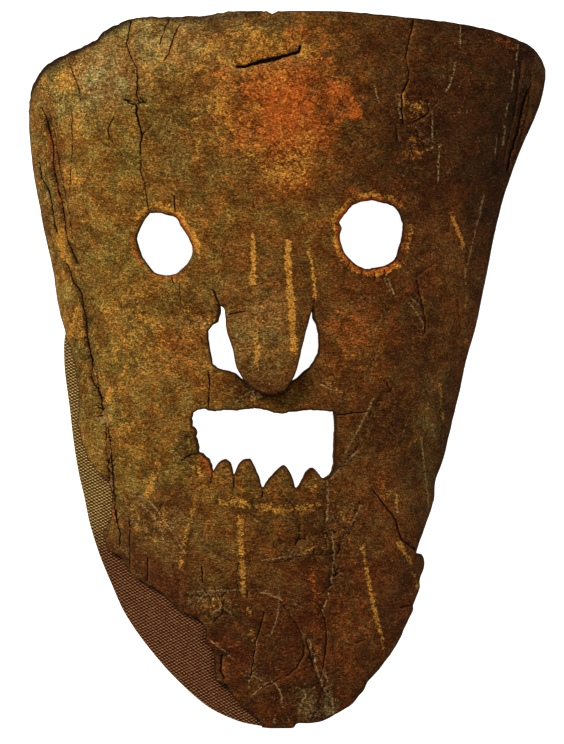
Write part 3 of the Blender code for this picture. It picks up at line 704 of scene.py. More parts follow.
def nose_height(x, y, tongue):
    ridge = np.exp(-(np.abs(x - NOSE_ROOT[0]) / (0.43 * NOSE_WIDTH)) ** 4)
    above = np.clip((y - NOSE_ROOT[1]) / (0.78 * NOSE_LENGTH), 0, 1)
    below = np.clip((NOSE_ROOT[1] - y) / NOSE_LENGTH, 0, 1)
    rise = (1 - above) ** 2 * (1 + 2 * above)
    fall = (1 - below) ** 2 * (1 + 2 * below)
    bridge = NOSE_BRIDGE * ridge * rise * np.where(tongue > 0, 1 - tongue, fall)
    drawn = tongue * (NOSE_EDGE_LIFT + (NOSE_TIP_LIFT - NOSE_EDGE_LIFT) * ridge)
    return bridge + drawn


def face_height(x, y, tongue):
    """How high the outer face stands above the table."""
    left = rim_x(LEFT_RIM, y)
    right = rim_x(RIGHT_RIM, y)
    half = (right - left) / 2
    across = (x - (left + right) / 2) / half
    inward = half * (1 - np.abs(across))
    arch = CROWN * half / (WIDTH / 2) * (1 - across ** 2)
    sides = ROLL_STEEPNESS * ROLL * (1 - np.exp(-inward / ROLL))
    upper = np.clip((y / HEIGHT - 0.15) / 0.35, 0, 1)
    lower = np.clip((-0.05 - y / HEIGHT) / 0.45, 0, 1)
    bend = 1 - FOREHEAD_FALL * upper ** 2 - CHIN_FALL * lower ** 1.5
    fade = np.clip(1 - across ** 2, 0, 1)
    relief = CHIN_BULGE * mound(x, y, *CHIN)
    relief += CHEEK_BULGE * sum(mound(x, y, *cheek) for cheek in CHEEKS)
    relief += BROW_BULGE * sum(mound(x, y, *brow) for brow in BROWS)
    return (arch + sides) * bend + relief * fade + nose_height(x, y, tongue)


def face_points(points, tongue):
    x = points[:, 0]
    drop = NOSE_ROOT[1] - points[:, 1]
    y = np.where(tongue > 0, NOSE_ROOT[1] - drop * NOSE_OVERHANG, points[:, 1])
    return np.stack([x, y, face_height(x, y, tongue)], axis=1)


def layer(points, depth):
    """The pattern's points on a layer at some depth behind the outer face, above the table."""
    tongue = tongue_share(points)
    step_x = np.array([TANGENT_STEP, 0.0])
    step_y = np.array([0.0, TANGENT_STEP])
    across = face_points(points + step_x, tongue) - face_points(points - step_x, tongue)
    upward = face_points(points + step_y, tongue) - face_points(points - step_y, tongue)
    normals = np.cross(across, upward)
    normals /= np.linalg.norm(normals, axis=1)[:, None]
    depths = np.broadcast_to(depth, len(points))
    result = face_points(points, tongue) - normals * depths[:, None]
    result[:, 2] = np.maximum(result[:, 2], 0)
    return result


def pattern_under(targets, depth):
    """Pattern points whose place on a deeper layer is seen at the targets from the front."""
    targets = np.array(targets)
    points = targets.copy()
    for _ in range(8):
        points = points + targets - layer(points, depth)[:, :2]
    return [tuple(point) for point in points]


def ripple(points, size, seed):
    """Smooth noise from -1 to 1, with lumps of about the given size."""
    return np.array([noise.noise((x / size, y / size, seed)) for x, y in points])


def wave(points, height, length, seed):
    return height * ripple(points, length, seed)


# Outlines

def ragged(line, amount, size, seed):
    """A line whose inner points stray a little, as a worn or torn edge does."""
    points = np.array(line)
    shift = np.stack([ripple(points, size, seed), ripple(points, size, seed + 7.3)], axis=1)
    shift[0] = 0
    shift[-1] = 0
    return [tuple(point) for point in points + shift * amount]


def eye_hole(edge, side):
    """An eye hole cut by hand, with a slightly uneven edge."""
    return ragged(rounded(viewed(edge + edge[:1]), EDGE_STEP), *STRAY[side])[:-1]


def mouth_hole():
    upper = ragged(divided(viewed(MOUTH_UPPER), EDGE_STEP), *STRAY["upper lip"])
    teeth = ragged(rounded(viewed(MOUTH_TEETH), EDGE_STEP), *STRAY["teeth"])
    corner = ragged(divided(viewed(MOUTH_LEFT), EDGE_STEP), *STRAY["mouth corner"])
    return upper[:-1] + teeth[:-1] + corner[:-1]


def nose_gap():
    tongue = rounded(tongue_line(), EDGE_STEP)
    cheek = divided([tongue[-1]] + viewed(NOSE_GAP_EDGE) + [tongue[0]], EDGE_STEP)
    return ragged(tongue, *STRAY["tongue"])[:-1] + ragged(cheek, *STRAY["nose gap"])[:-1]


def rim_line(rim, top, bottom):
    count = math.ceil((top - bottom) * HEIGHT / EDGE_STEP)
    heights = np.linspace(top * HEIGHT, bottom * HEIGHT, count + 1)
    return list(zip(rim_x(rim, heights), heights))


def leather_outline():
    outline = ragged(rounded(placed(TOP_LEFT), EDGE_STEP), *STRAY["top left"])[:-1]
    outline += divided(placed(TOP_NICK), EDGE_STEP)[:-1]
    outline += ragged(rounded(placed(TOP_RIGHT), EDGE_STEP), *STRAY["top right"])[:-1]
    outline += rim_line(RIGHT_RIM, *RIGHT_CHEEK)[:-1]
    outline += ragged(rounded(placed(JAW), EDGE_STEP), *STRAY["jaw"])[:-1]
    outline += ragged(divided(placed(TORN_EDGE), EDGE_STEP), *STRAY["torn edge"])[:-1]
    outline += divided(placed(LEFT_LIFTED), EDGE_STEP)[:-1]
    outline += rim_line(LEFT_RIM, *LEFT_CHEEK)[:0:-1]
    points = np.clip(outline, (-WIDTH / 2, -HEIGHT / 2), (WIDTH / 2, HEIGHT / 2))
    return [tuple(point) for point in points.tolist()]


def cloth_outline():
    free = pattern_under(rounded(placed(CLOTH_FREE), EDGE_STEP), LEATHER + CLOTH_GAP)
    hidden = divided(placed(CLOTH_HIDDEN), 2 * EDGE_STEP)
    return free + hidden[1:-1]


# Nets

def grid_points(spacing, outline):
    """A staggered grid of points inside an outline, each a little off its place."""
    low = np.min(outline, axis=0)
    high = np.max(outline, axis=0)
    row_height = spacing * math.sqrt(3) / 2
    rows = math.ceil((high[1] - low[1]) / row_height)
    columns = math.ceil((high[0] - low[0]) / spacing)
    row, column = np.meshgrid(np.arange(rows + 1), np.arange(columns + 1), indexing="ij")
    x = low[0] + (column + row % 2 / 2) * spacing
    y = low[1] + row * row_height
    points = np.stack([x.ravel(), y.ravel()], axis=1)
    stray = np.random.default_rng(GRID_SEED).uniform(-GRID_STRAY, GRID_STRAY, points.shape)
    points = points + stray * spacing
    return points[inside(points, outline)]


def cut_net(loops, lines, spacing, clear):
    """Triangles within the first loop and outside the others, with vertices along the lines.

    It gives the vertices, the triangles and the vertex of each point of each loop.
    """
    outline = loops[0]
    corners = []
    edges = []
    for loop in loops:
        first = len(corners)
        corners += loop
        edges += [(first + k, first + (k + 1) % len(loop)) for k in range(len(loop))]
    loop_count = len(corners)
    for line in lines:
        first = len(corners)
        corners += line
        edges += [(first + k, first + k + 1) for k in range(len(line) - 1)]
    grid = grid_points(spacing, outline)
    grid = grid[distances(grid, corners) > clear]
    corners += [tuple(point) for point in grid]
    made = delaunay_2d_cdt([Vector(corner) for corner in corners], edges, [], 0, 1e-8)
    vertices = np.array([tuple(vertex) for vertex in made[0]])
    faces = np.array(made[2])
    middles = vertices[faces].mean(axis=1)
    chosen = inside(middles, outline)
    for hole in loops[1:]:
        chosen &= ~inside(middles, hole)
    used, faces = np.unique(faces[chosen], return_inverse=True)
    number = {vertex: k for k, vertex in enumerate(used.tolist())}
    place_of = {}
    for vertex, sources in enumerate(made[3]):
        for source in sources:
            if source < loop_count:
                place_of[source] = number[vertex]
    return vertices[used], faces.reshape(-1, 3), place_of


def surface_lines(lines, edge_places, seed):
    """Crack lines on the mask, ragged and kept clear of the cut edges."""
    result = []
    for number, line in enumerate(lines):
        points = ragged(rounded(viewed(line), EDGE_STEP), *CRACK_STRAY, seed + number)
        far = distances(points, edge_places) > CRACK_CLEAR
        piece = []
        for point, keep in zip(points, far):
            if keep:
                piece.append(point)
            elif len(piece) > 1:
                result.append(piece)
                piece = []
        if len(piece) > 1:
            result.append(piece)
    return result


def both_sides(lines, offset):
    """Loose points on both sides of each line, which keep its groove narrow."""
    result = []
    for line in lines:
        points = np.array(line)
        along = np.gradient(points, axis=0)
        along /= np.maximum(np.linalg.norm(along, axis=1)[:, None], 1e-9)
        across = np.stack([-along[:, 1], along[:, 0]], axis=1)
        result += [[tuple(point)] for point in points + across * offset]
        result += [[tuple(point)] for point in points - across * offset]
    return result


def marked(points, lines, reach, power=1.0):
    """How near each point is to the lines: 1 on them, 0 from the reach on."""
    if not lines:
        return np.zeros(len(points))
    fine = [place for line in lines for place in divided(line, LINE_STEP)]
    return np.clip(1 - distances(points, fine) / reach, 0, 1) ** power


def add_values(mesh, name, values):
    made = mesh.attributes.new(name, "FLOAT", "POINT")
    made.data.foreach_set("value", np.asarray(values, dtype=np.float32))


def add_colours(mesh, name, colours):
    made = mesh.attributes.new(name, "FLOAT_COLOR", "POINT")
    full = np.concatenate([colours, np.ones((len(colours), 1))], axis=1)
    made.data.foreach_set("color", full.astype(np.float32).ravel())


def closed_sheet(name, front, back, front_faces, back_faces, front_of, back_of, loops):
    """A closed sheet from its two sides and the loops that join them.

    Material 0 is the front, 1 the back and 2 the cut edge.
    """
    shift = len(front)
    vertices = np.vstack([front, back])
    faces = [tuple(face) for face in front_faces.tolist()]
    kinds = [0] * len(faces)
    for a, b, c in (back_faces + shift).tolist():
        faces.append((c, b, a))
        kinds.append(1)
    first = 0
    for loop in loops:
        x, y = np.array(loop).T
        turn = np.sum(x * np.roll(y, -1) - np.roll(x, -1) * y)
        outward = (turn > 0) == (first == 0)
        for k in range(len(loop)):
            a = first + k
            b = first + (k + 1) % len(loop)
            quad = (front_of[b], front_of[a], back_of[a] + shift, back_of[b] + shift)
            if front_of[a] == front_of[b]:
                continue
            faces.append(quad if outward else quad[::-1])
            kinds.append(2)
        first += len(loop)
    mesh = bpy.data.meshes.new(name)
    mesh.from_pydata(vertices.tolist(), [], faces)
    mesh.polygons.foreach_set("material_index", kinds)
    mesh.shade_smooth()
    mesh.set_sharp_from_angle(angle=SHARP_ANGLE)
    made = bpy.data.objects.new(name, mesh)
    bpy.context.scene.collection.objects.link(made)
    return made


# Colour of the outer face

def blended(colours, colour, share):
    return colours * (1 - share)[:, None] + as_light(colour) * share[:, None]


def soft_patch(x, y, middle, reach, lean=0):
    """A soft-edged oval in the front view: 1 in its middle, 0 well outside its reach."""
    turn = math.radians(lean)
    u = ((x - middle[0]) * math.cos(turn) + (y - middle[1]) * math.sin(turn)) / reach[0]
    v = ((y - middle[1]) * math.cos(turn) - (x - middle[0]) * math.sin(turn)) / reach[1]
    return np.exp(-(u * u + v * v) ** 1.4)


def band(points, line, half_width):
    """A soft-edged band along a line of the front view."""
    places = divided(viewed(line), LINE_STEP)
    reach = half_width * VIEW_STEP
    low = np.min(places, axis=0) - 2 * reach
    high = np.max(places, axis=0) + 2 * reach
    near = np.all((points > low) & (points < high), axis=1)
    result = np.zeros(len(points))
    result[near] = np.clip(1.6 - 1.1 * distances(points[near], places) / reach, 0, 1)
    return result


def strayed(points):
    """Where places are in the front view, shifted unevenly so that patches get ragged edges."""
    x, y = to_view(points)
    for far, length, seed in MARK_STRAYS:
        x = x + wave(points, far, length, seed)
        y = y + wave(points, far, length, seed + 4)
    return x, y


def painted(points):
    """The leather's broad colours at places on the mask, as linear light, with painted light and shade in
    them: lighter at the left, darker at the right, and dark at and under the nose tip.
    """
    x, y = strayed(points)
    # Across the view: lighter at the left and darker at the right, partly the leather's own colour, partly
    # painted light and shade
    knots = [place for place, _ in ACROSS]
    tones = np.array([as_light(colour) for _, colour in ACROSS])
    colours = np.stack([np.interp(x, knots, tones[:, part]) for part in range(3)], axis=1)
    colours = blended(colours, CHIN_COLOUR, CHIN_SHARE * np.clip((y - CHIN_START) / CHIN_FADE, 0, 1))
    # Broad stains, with the painted shade at the nose tip
    for middle, reach, lean, colour, strength in STAINS_AND_SHADE:
        colours = blended(colours, colour, strength * soft_patch(x, y, middle, reach, lean))
    # Narrow stains, with the painted shadow under the nose tip
    for line, half_width, colour, strength in NARROW_STAINS_AND_SHADOW:
        colours = blended(colours, colour, strength * band(points, line, half_width))
    return colours


def old_paint(points, bands, patches):
    """How thick a layer of old paint is left, from 0 to 1."""
    x, y = strayed(points)
    result = np.zeros(len(points))
    for middle, reach, strength in patches:
        result = np.maximum(result, strength * soft_patch(x, y, middle, reach))
    for line, half_width, strength in bands:
        result = np.maximum(result, strength * band(points, line, half_width))
    return result


def zoned(x, y, zones):
    result = np.zeros(len(x))
    for middle, reach, strength in zones:
        result += strength * soft_patch(x, y, middle, reach)
    return np.clip(result, 0, 1)


# Making the leather

def crack_share(pattern, cracks):
    """How open the cracks are at each point, with their gape varied along them."""
    result = np.zeros(len(pattern))
    gape = 1.0 + wave(pattern, *GAPE_WAVE)
    for strength, lines in cracks:
        near = marked(pattern, lines, CRACK_SIDE * max(1, strength))
        result = np.maximum(result, strength * gape * near)
    return np.clip(result, 0, 1)


def cross_ticks(line, seed):
    """Short splits that stray along and across a seam, with gaps between them."""
    places = np.array(divided(viewed(line), TICK_PITCH))
    along = np.gradient(places, axis=0)
    along /= np.linalg.norm(along, axis=1)[:, None]
    result = []
    for k, (place, way) in enumerate(zip(places, along)):
        lean = 3.2 * noise.noise((k * 0.83, seed, 0.5))
        half = TICK_HALF * (1 + 1.4 * noise.noise((k * 1.7, seed, 4.5)))
        shift = TICK_STRAY * noise.noise((k * 1.3, seed, 8.5))
        if noise.noise((k * 0.61, seed, 12.5)) < -0.1:
            continue
        turned = np.array([way[0] * math.cos(lean) - way[1] * math.sin(lean),
                           way[0] * math.sin(lean) + way[1] * math.cos(lean)])
        middle = place + np.array([-way[1], way[0]]) * shift
        result.append([tuple(middle - turned * half), tuple(middle), tuple(middle + turned * half)])
    return result


def edge_wear(pattern, x, y, loops):
    """The dark, worn skin along each cut edge: broad at the upper left and the mouth."""
    result = np.zeros(len(pattern))
    broader = 1 + BROAD_WEAR_GAIN * soft_patch(x, y, *BROAD_WEAR)
    for loop, reach in zip(loops, EDGE_WEAR):
        near = distances(pattern, divided(loop + loop[:1], LOOP_STEP)) / broader
        result = np.maximum(result, np.clip(1 - near / reach, 0, 1))
    return result


def eye_wear(pattern, eyes):
    """The thinned rims of the eye holes: how thin, how ochre, how red."""
    thin = np.zeros(len(pattern))
    ochre = np.zeros(len(pattern))
    red = np.zeros(len(pattern))
    for loop, arcs in zip(eyes, EYE_ARCS):
        middle = np.mean(loop, axis=0)
        away = distances(pattern, divided(loop + loop[:1], LOOP_STEP))
        thin = np.maximum(thin, np.clip(1 - away / EYE_SKIVE, 0, 1))
        offset = pattern - middle
        angle = np.degrees(np.arctan2(offset[:, 1], offset[:, 0]))
        out = away / EYE_BAND
        outer = np.clip(6 * out - 2.0, 0, 1) * np.clip(6 - 5.6 * out, 0, 1)
        inner = np.clip(6 * out - 0.5, 0, 1) * np.clip(4.6 - 5.6 * out, 0, 1)
        for place, reach, ochre_strength, red_strength in arcs:
            turn = (angle - place + 180) % 360 - 180
            share = np.exp(-(turn / reach) ** 4)
            ochre = np.maximum(ochre, ochre_strength * share * outer)
            red = np.maximum(red, red_strength * share * inner)
    return thin, ochre, red


def tick_lines(edge_places):
    """The ticks of every seam, kept clear of the cut edges."""
    ticks = [tick for number, line in enumerate(SEAMS + SEAMS + [LEFT_JAW_TEAR])
             for tick in cross_ticks(line, TICK_SEED + number)]
    far = distances([tick[1] for tick in ticks], edge_places) > TICK_CLEAR
    return [tick for tick, keep in zip(ticks, far) if keep]


def worn_depth(pattern, edge, crack, fibre, crease, tear, thin):
    """How far each place of the outer side lies below the moulded face."""
    depth = EDGE_ROUNDING * np.exp(-edge / EDGE_REACH * 1.6)
    depth += CRACK_DEPTH * crack - FIBRE_RISE * fibre + CREASE_DEPTH * crease
    depth += TEAR_DEPTH * tear + EYE_THINNING * thin * thin * (3 - 2 * thin)
    depth -= sum(wave(pattern, *shape) for shape in FACE_WAVES)
    return np.maximum(depth, np.where(edge < 1e-6, SHALLOWEST_EDGE, -HIGHEST_RISE))


def make_leather():
    outline = leather_outline()
    eyes = [eye_hole(LEFT_EYE_EDGE, "left eye"), eye_hole(RIGHT_EYE_EDGE, "right eye")]
    loops = [outline] + eyes + [nose_gap(), mouth_hole()]
    edge_places = [place for loop in loops for place in loop]

    cracks = [(strength, surface_lines([line], edge_places, CRACK_SEED + number))
              for number, (strength, line) in enumerate(CRACKS)]
    cracks.append((TICK_STRENGTH, tick_lines(edge_places)))
    crack_lines = [line for _, lines in cracks for line in lines]
    pale = surface_lines(PALE_LINES, edge_places, FIBRE_SEED)
    tear = surface_lines([TEAR_LINE], edge_places, TEAR_SEED)
    folds = [LEFT_FOLD, LEFT_FOLD_LOWER, RIM_FOLD, RIGHT_FOLD]
    creases = surface_lines(SEAMS + CREASES + folds, edge_places, CREASE_SEED)
    sides = both_sides(crack_lines + pale, CRACK_SIDE)
    sides += both_sides(tear, 0.45 * TEAR_OPENING) + both_sides(tear, 0.8 * TEAR_OPENING)
    rows = both_sides([loop + loop[:1] for loop in loops], EDGE_REACH)

    pattern, front_faces, front_of = cut_net(loops, crack_lines + pale + tear + sides + rows,
                                             FACE_NET, 0.5 * FACE_NET)
    back_pattern, back_faces, back_of = cut_net(loops, [], BACK_NET, 0.4 * BACK_NET)

    edge = distances(pattern, edge_places)
    crack = crack_share(pattern, cracks)
    # The lip on the lower right of each crack: partly raw fibres, partly painted light
    lip = crack_share(pattern - np.array(LIP_OFFSET), cracks)
    pale_mark = marked(pattern, pale, CRACK_SIDE)
    crease = marked(pattern, creases, CREASE_REACH, 1.5)
    tear_share = tear_opening(pattern, tear)
    x, y = to_view(pattern)
    thin, eye_ochre, eye_red = eye_wear(pattern, eyes)

    front = layer(pattern, worn_depth(pattern, edge, crack, pale_mark, crease, tear_share, thin))
    back = layer(back_pattern, LEATHER - wave(back_pattern, *FLESH_WAVE))

    made = closed_sheet("leather_skin", front, back, front_faces, back_faces, front_of, back_of, loops)
    ochre = np.maximum(old_paint(pattern, OCHRE_BANDS, OCHRE_PATCHES), eye_ochre)
    red = np.maximum(old_paint(pattern, RED_BANDS, RED_PATCHES), eye_red)
    count = len(back)
    add_colours(made.data, "paint", np.vstack([painted(pattern), painted(back_pattern)]))
    marks = {"crack": np.maximum(crack, tear_share), "lip": lip, "pale": pale_mark, "crease": crease,
             "ochre": ochre, "red": red, "edge": edge_wear(pattern, x, y, loops),
             "speckle": zoned(x, y, DUSTY), "wrinkle": zoned(x, y, WRINKLED)}
    for name, values in marks.items():
        add_values(made.data, name, np.concatenate([values, np.full(count, name == "edge")]))
    return made


def tear_opening(points, tear):
    """How far the forehead tear is open: widest near its middle and narrow at its ends."""
    line = np.array(tear[0])
    tree = finder(tear[0])
    result = np.zeros(len(points))
    low = line.min(axis=0) - TEAR_REACH
    high = line.max(axis=0) + TEAR_REACH
    for k in np.nonzero(np.all((points > low) & (points < high), axis=1))[0]:
        _, place, away = tree.find((points[k][0], points[k][1], 0))
        along = place / (len(line) - 1)
        half = TEAR_OPENING * (0.12 + 0.5 * math.sin(math.pi * min(1, along * 1.05)) ** 1.2)
        result[k] = min(1, max(0, 1.5 - 1.5 * away / half)) if away < half else 0
    return result


# Making the cloth

def make_cloth():
    outline = cloth_outline()
    pattern, front_faces, front_of = cut_net([outline], [], FACE_NET, 0.6 * FACE_NET)
    back_pattern, back_faces, back_of = cut_net([outline], [], BACK_NET, 0.4 * BACK_NET)
    front = layer(pattern, LEATHER + CLOTH_GAP - wave(pattern, *CLOTH_WAVE))
    back = layer(back_pattern, LEATHER + CLOTH_GAP + CLOTH)
    made = closed_sheet("woven_backing", front, back, front_faces, back_faces, front_of, back_of, [outline])
    _, y = to_view(pattern)
    lower = np.clip((y - CLOTH_LOWER_START) / CLOTH_LOWER_FADE, 0, 1)
    colours = blended(as_light(CLOTH_UPPER), CLOTH_LOWER, lower)
    back_colours = np.broadcast_to(as_light(CLOTH_BACK), (len(back), 3))
    add_colours(made.data, "paint", np.vstack([colours, back_colours]))
    return made


# Materials

def add_node(tree, kind, **values):
    """A node with some of its properties and unlinked inputs set by name."""
    made = tree.nodes.new(kind)
    for name, value in values.items():
        if name in made.inputs:
            made.inputs[name].default_value = value
        else:
            setattr(made, name, value)
    return made


def joined(tree, *links):
    for start, end in links:
        tree.links.new(start, end)


def math_node(tree, operation, first, second=None):
    made = tree.nodes.new("ShaderNodeMath")
    made.operation = operation
    for socket, value in zip(made.inputs, (first, second)):
        if value is None:
            continue
        if isinstance(value, (int, float)):
            socket.default_value = value
        else:
            tree.links.new(value, socket)
    return made.outputs[0]


def scaled(tree, value, factor):
    return math_node(tree, "MULTIPLY", value, factor)


def summed(tree, *values):
    total = values[0]
    for value in values[1:]:
        total = math_node(tree, "ADD", total, value)
    return total


def swing(tree, value, weight):
    """How far a value is from 0.5, times a weight."""
    return scaled(tree, math_node(tree, "SUBTRACT", value, 0.5), weight)


def mix_colours(tree, share, first, second):
    made = tree.nodes.new("ShaderNodeMix")
    made.data_type = "RGBA"
    for socket, value in ((made.inputs[0], share), (made.inputs[6], first), (made.inputs[7], second)):
        if isinstance(value, (int, float)):
            socket.default_value = value
        elif isinstance(value, tuple):
            socket.default_value = (*as_light(value), 1.0)
        else:
            tree.links.new(value, socket)
    return made.outputs[2]


def remapped(tree, value, low, high, to_low=0.0, to_high=1.0):
    made = tree.nodes.new("ShaderNodeMapRange")
    made.interpolation_type = "SMOOTHSTEP"
    for socket, number in zip(list(made.inputs)[1:5], (low, high, to_low, to_high)):
        socket.default_value = number
    tree.links.new(value, made.inputs[0])
    return made.outputs[0]


def noise_value(tree, place, scale, detail=4.0, roughness=0.6, distortion=0.0):
    made = add_node(tree, "ShaderNodeTexNoise", Scale=scale, Detail=detail,
                    Roughness=roughness, Distortion=distortion)
    tree.links.new(place, made.inputs["Vector"])
    return made.outputs[0]


def new_group(name, inputs, outputs):
    """A node group with named sockets: numbers as floats, colours as four-part values."""
    tree = bpy.data.node_groups.new(name, "ShaderNodeTree")
    kinds = {"value": "NodeSocketFloat", "colour": "NodeSocketColor", "vector": "NodeSocketVector"}
    for socket, kind in inputs:
        tree.interface.new_socket(socket, in_out="INPUT", socket_type=kinds[kind])
    for socket, kind in outputs:
        tree.interface.new_socket(socket, in_out="OUTPUT", socket_type=kinds[kind])
    return tree, tree.nodes.new("NodeGroupInput").outputs, tree.nodes.new("NodeGroupOutput").inputs


def leather_grain_group():
    """Pores, fibres and mottling of old leather. A noise's scale is its waves in a metre."""
    tree, given, result = new_group(
        "Leather grain", [("Place", "vector"), ("Coarseness", "value")],
        [("Height", "value"), ("Mottle", "value"), ("Fibre", "value"), ("Wrinkle", "value"),
         ("Hue", "value")])
    place = add_node(tree, "ShaderNodeVectorMath", operation="SCALE")
    joined(tree, (given["Place"], place.inputs[0]), (given["Coarseness"], place.inputs["Scale"]))
    here = place.outputs[0]
    stretch = add_node(tree, "ShaderNodeMapping")
    stretch.inputs["Rotation"].default_value = (0, 0, math.radians(12))
    stretch.inputs["Scale"].default_value = (0.62, 1.30, 1.0)
    tree.links.new(here, stretch.inputs["Vector"])
    strands = noise_value(tree, stretch.outputs[0], 1500.0, 2.0, 0.6, 1.4)
    fine = noise_value(tree, stretch.outputs[0], 2700.0, 1.0, 0.5, 0.8)
    fibre = summed(tree, scaled(tree, strands, 0.68), scaled(tree, fine, 0.32))
    hue = noise_value(tree, here, 130.0, 4.0, 0.6, 1.0)
    mottle = noise_value(tree, here, 170.0, 6.0, 0.66, 0.6)
    ridges = noise_value(tree, here, 430.0, 4.0, 0.6, 1.2)
    away = math_node(tree, "ABSOLUTE", math_node(tree, "SUBTRACT", ridges, 0.5))
    wrinkle = remapped(tree, away, 0.0, 0.06)
    height = summed(tree, scaled(tree, fibre, 0.9), scaled(tree, fine, 0.25), scaled(tree, mottle, 0.5))
    joined(tree, (height, result["Height"]), (mottle, result["Mottle"]), (fibre, result["Fibre"]),
           (wrinkle, result["Wrinkle"]), (hue, result["Hue"]))
    return tree


def worn_paint_group():
    """What is left of a layer of paint, by how thick it was and how the surface under it is worn."""
    tree, given, result = new_group(
        "Worn paint", [("Place", "vector"), ("Amount", "value"), ("Fibre", "value"), ("Mottle", "value")],
        [("Cover", "value")])
    flake = noise_value(tree, given["Place"], 520.0, 3.0, 0.65, 0.8)
    level = summed(tree, given["Amount"], swing(tree, given["Fibre"], 1.3),
                   swing(tree, given["Mottle"], 1.1), swing(tree, flake, 1.2))
    joined(tree, (remapped(tree, level, 0.38, 0.80), result["Cover"]))
    return tree


def dust_group():
    """Pale dust and lint that lies in specks."""
    tree, given, result = new_group(
        "Dust specks", [("Place", "vector"), ("Amount", "value")], [("Cover", "value")])
    specks = noise_value(tree, given["Place"], 1250.0, 2.0, 0.8)
    clouds = noise_value(tree, given["Place"], 200.0, 3.0, 0.6)
    both = scaled(tree, specks, summed(tree, clouds, 0.5))
    level = summed(tree, both, scaled(tree, given["Amount"], 0.20))
    joined(tree, (remapped(tree, level, 0.66, 0.80), result["Cover"]))
    return tree


def new_material(name, roughness, specular):
    made = bpy.data.materials.new(name)
    made.use_nodes = True
    tree = made.node_tree
    shader = tree.nodes["Principled BSDF"]
    shader.inputs["Roughness"].default_value = roughness
    shader.inputs["Specular IOR Level"].default_value = specular
    place = tree.nodes.new("ShaderNodeTexCoord").outputs["Object"]
    return made, tree, shader, place


def group_outputs(tree, group, **values):
    """A group's outputs, with its inputs linked or set by name."""
    made = tree.nodes.new("ShaderNodeGroup")
    made.node_tree = group
    for name, value in values.items():
        if isinstance(value, float):
            made.inputs[name].default_value = value
        else:
            tree.links.new(value, made.inputs[name])
    return made.outputs


def named_value(tree, name, output="Fac"):
    return add_node(tree, "ShaderNodeAttribute", attribute_name=name).outputs[output]


def times(tree, colour, factors):
    """A colour brightened or darkened by a factor for each of its parts."""
    made = add_node(tree, "ShaderNodeVectorMath", operation="MULTIPLY")
    made.inputs[1].default_value = factors
    tree.links.new(colour, made.inputs[0])
    return made.outputs[0]


def toned(tree, colour, share, factors):
    """A colour times the first factors where the share is 0, and times the second where it is 1."""
    return mix_colours(tree, share, times(tree, colour, factors[0]), times(tree, colour, factors[1]))


def bumped(tree, shader, height, strength, distance):
    bump = add_node(tree, "ShaderNodeBump", Strength=strength, Distance=distance)
    joined(tree, (height, bump.inputs["Height"]), (bump.outputs[0], shader.inputs["Normal"]))


def grain_side_material(grain, worn, dust):
    """The outer, grain side: stained, mottled, cracked and marked with old paint, with painted highlights
    on its brightest fibres, painted shade in its creases and wrinkles, and painted light on one lip of each
    crack.
    """
    made, tree, shader, place = new_material("grain_side", roughness=0.6, specular=0.06)
    texture = group_outputs(tree, grain, Place=place, Coarseness=1.0)
    mottle = texture["Mottle"]
    fibre = texture["Fibre"]
    broad = named_value(tree, "paint", "Color")
    fleck = remapped(tree, fibre, 0.42, 0.58)
    colour = toned(tree, broad, fleck, FLECKS)
    # Painted highlights: the brightest fibres are lit up about threefold
    colour = mix_colours(tree, remapped(tree, fibre, 0.56, 0.67), colour, times(tree, broad, FLECK_HIGHLIGHT))
    colour = toned(tree, colour, remapped(tree, mottle, 0.36, 0.62), MOTTLES)
    colour = toned(tree, colour, remapped(tree, texture["Hue"], 0.40, 0.60), HUES)
    for name, shade, bright in (("red", RED_SHADE, RED_PAINT), ("ochre", OCHRE_SHADE, OCHRE)):
        cover = group_outputs(tree, worn, Place=place, Amount=named_value(tree, name),
                              Fibre=fibre, Mottle=mottle)["Cover"]
        paint = mix_colours(tree, fleck, shade, bright)
        colour = mix_colours(tree, scaled(tree, cover, 0.9), colour, paint)
    # Painted shade: the colour darkens along the creases' shallow valleys
    valley = scaled(tree, named_value(tree, "crease"), 0.30)
    colour = mix_colours(tree, valley, colour, CRACK_AND_SHADE_DARK)
    # Painted shade: the colour darkens in the grooves of the fine wrinkles, where the bump is lowest
    gaps = math_node(tree, "SUBTRACT", 1.0, texture["Wrinkle"])
    gaps = scaled(tree, gaps, named_value(tree, "wrinkle"))
    colour = mix_colours(tree, scaled(tree, gaps, 0.45), colour, CRACK_AND_SHADE_DARK)
    specks = group_outputs(tree, dust, Place=place, Amount=named_value(tree, "speckle"))["Cover"]
    colour = mix_colours(tree, scaled(tree, specks, 0.4), colour, PALE)
    # A reddish lip on the cracks' lamp-facing side: partly raw fibres, partly painted light
    lip = scaled(tree, named_value(tree, "lip"), remapped(tree, fibre, 0.35, 0.60, 0.1, 0.7))
    colour = mix_colours(tree, lip, colour, LIP_BROWN)
    pale = scaled(tree, named_value(tree, "pale"), remapped(tree, fibre, 0.44, 0.60, 0.0, 0.95))
    colour = mix_colours(tree, pale, colour, PALE)
    ragged_edge = summed(tree, named_value(tree, "edge"), swing(tree, fibre, 1.6))
    colour = mix_colours(tree, remapped(tree, ragged_edge, 0.35, 0.85, 0.0, 0.9), colour, EDGE_DARK)
    split = summed(tree, named_value(tree, "crack"), swing(tree, fibre, -0.7))
    colour = mix_colours(tree, remapped(tree, split, 0.22, 0.46), colour, CRACK_AND_SHADE_DARK)
    tree.links.new(colour, shader.inputs["Base Color"])
    tree.links.new(remapped(tree, fibre, 0.3, 0.7, 0.72, 0.50), shader.inputs["Roughness"])
    fold_height = summed(tree, scaled(tree, named_value(tree, "wrinkle"), 1.6), 0.12)
    folds = scaled(tree, texture["Wrinkle"], fold_height)
    bumped(tree, shader, summed(tree, texture["Height"], folds), strength=0.9, distance=0.0013)
    return made


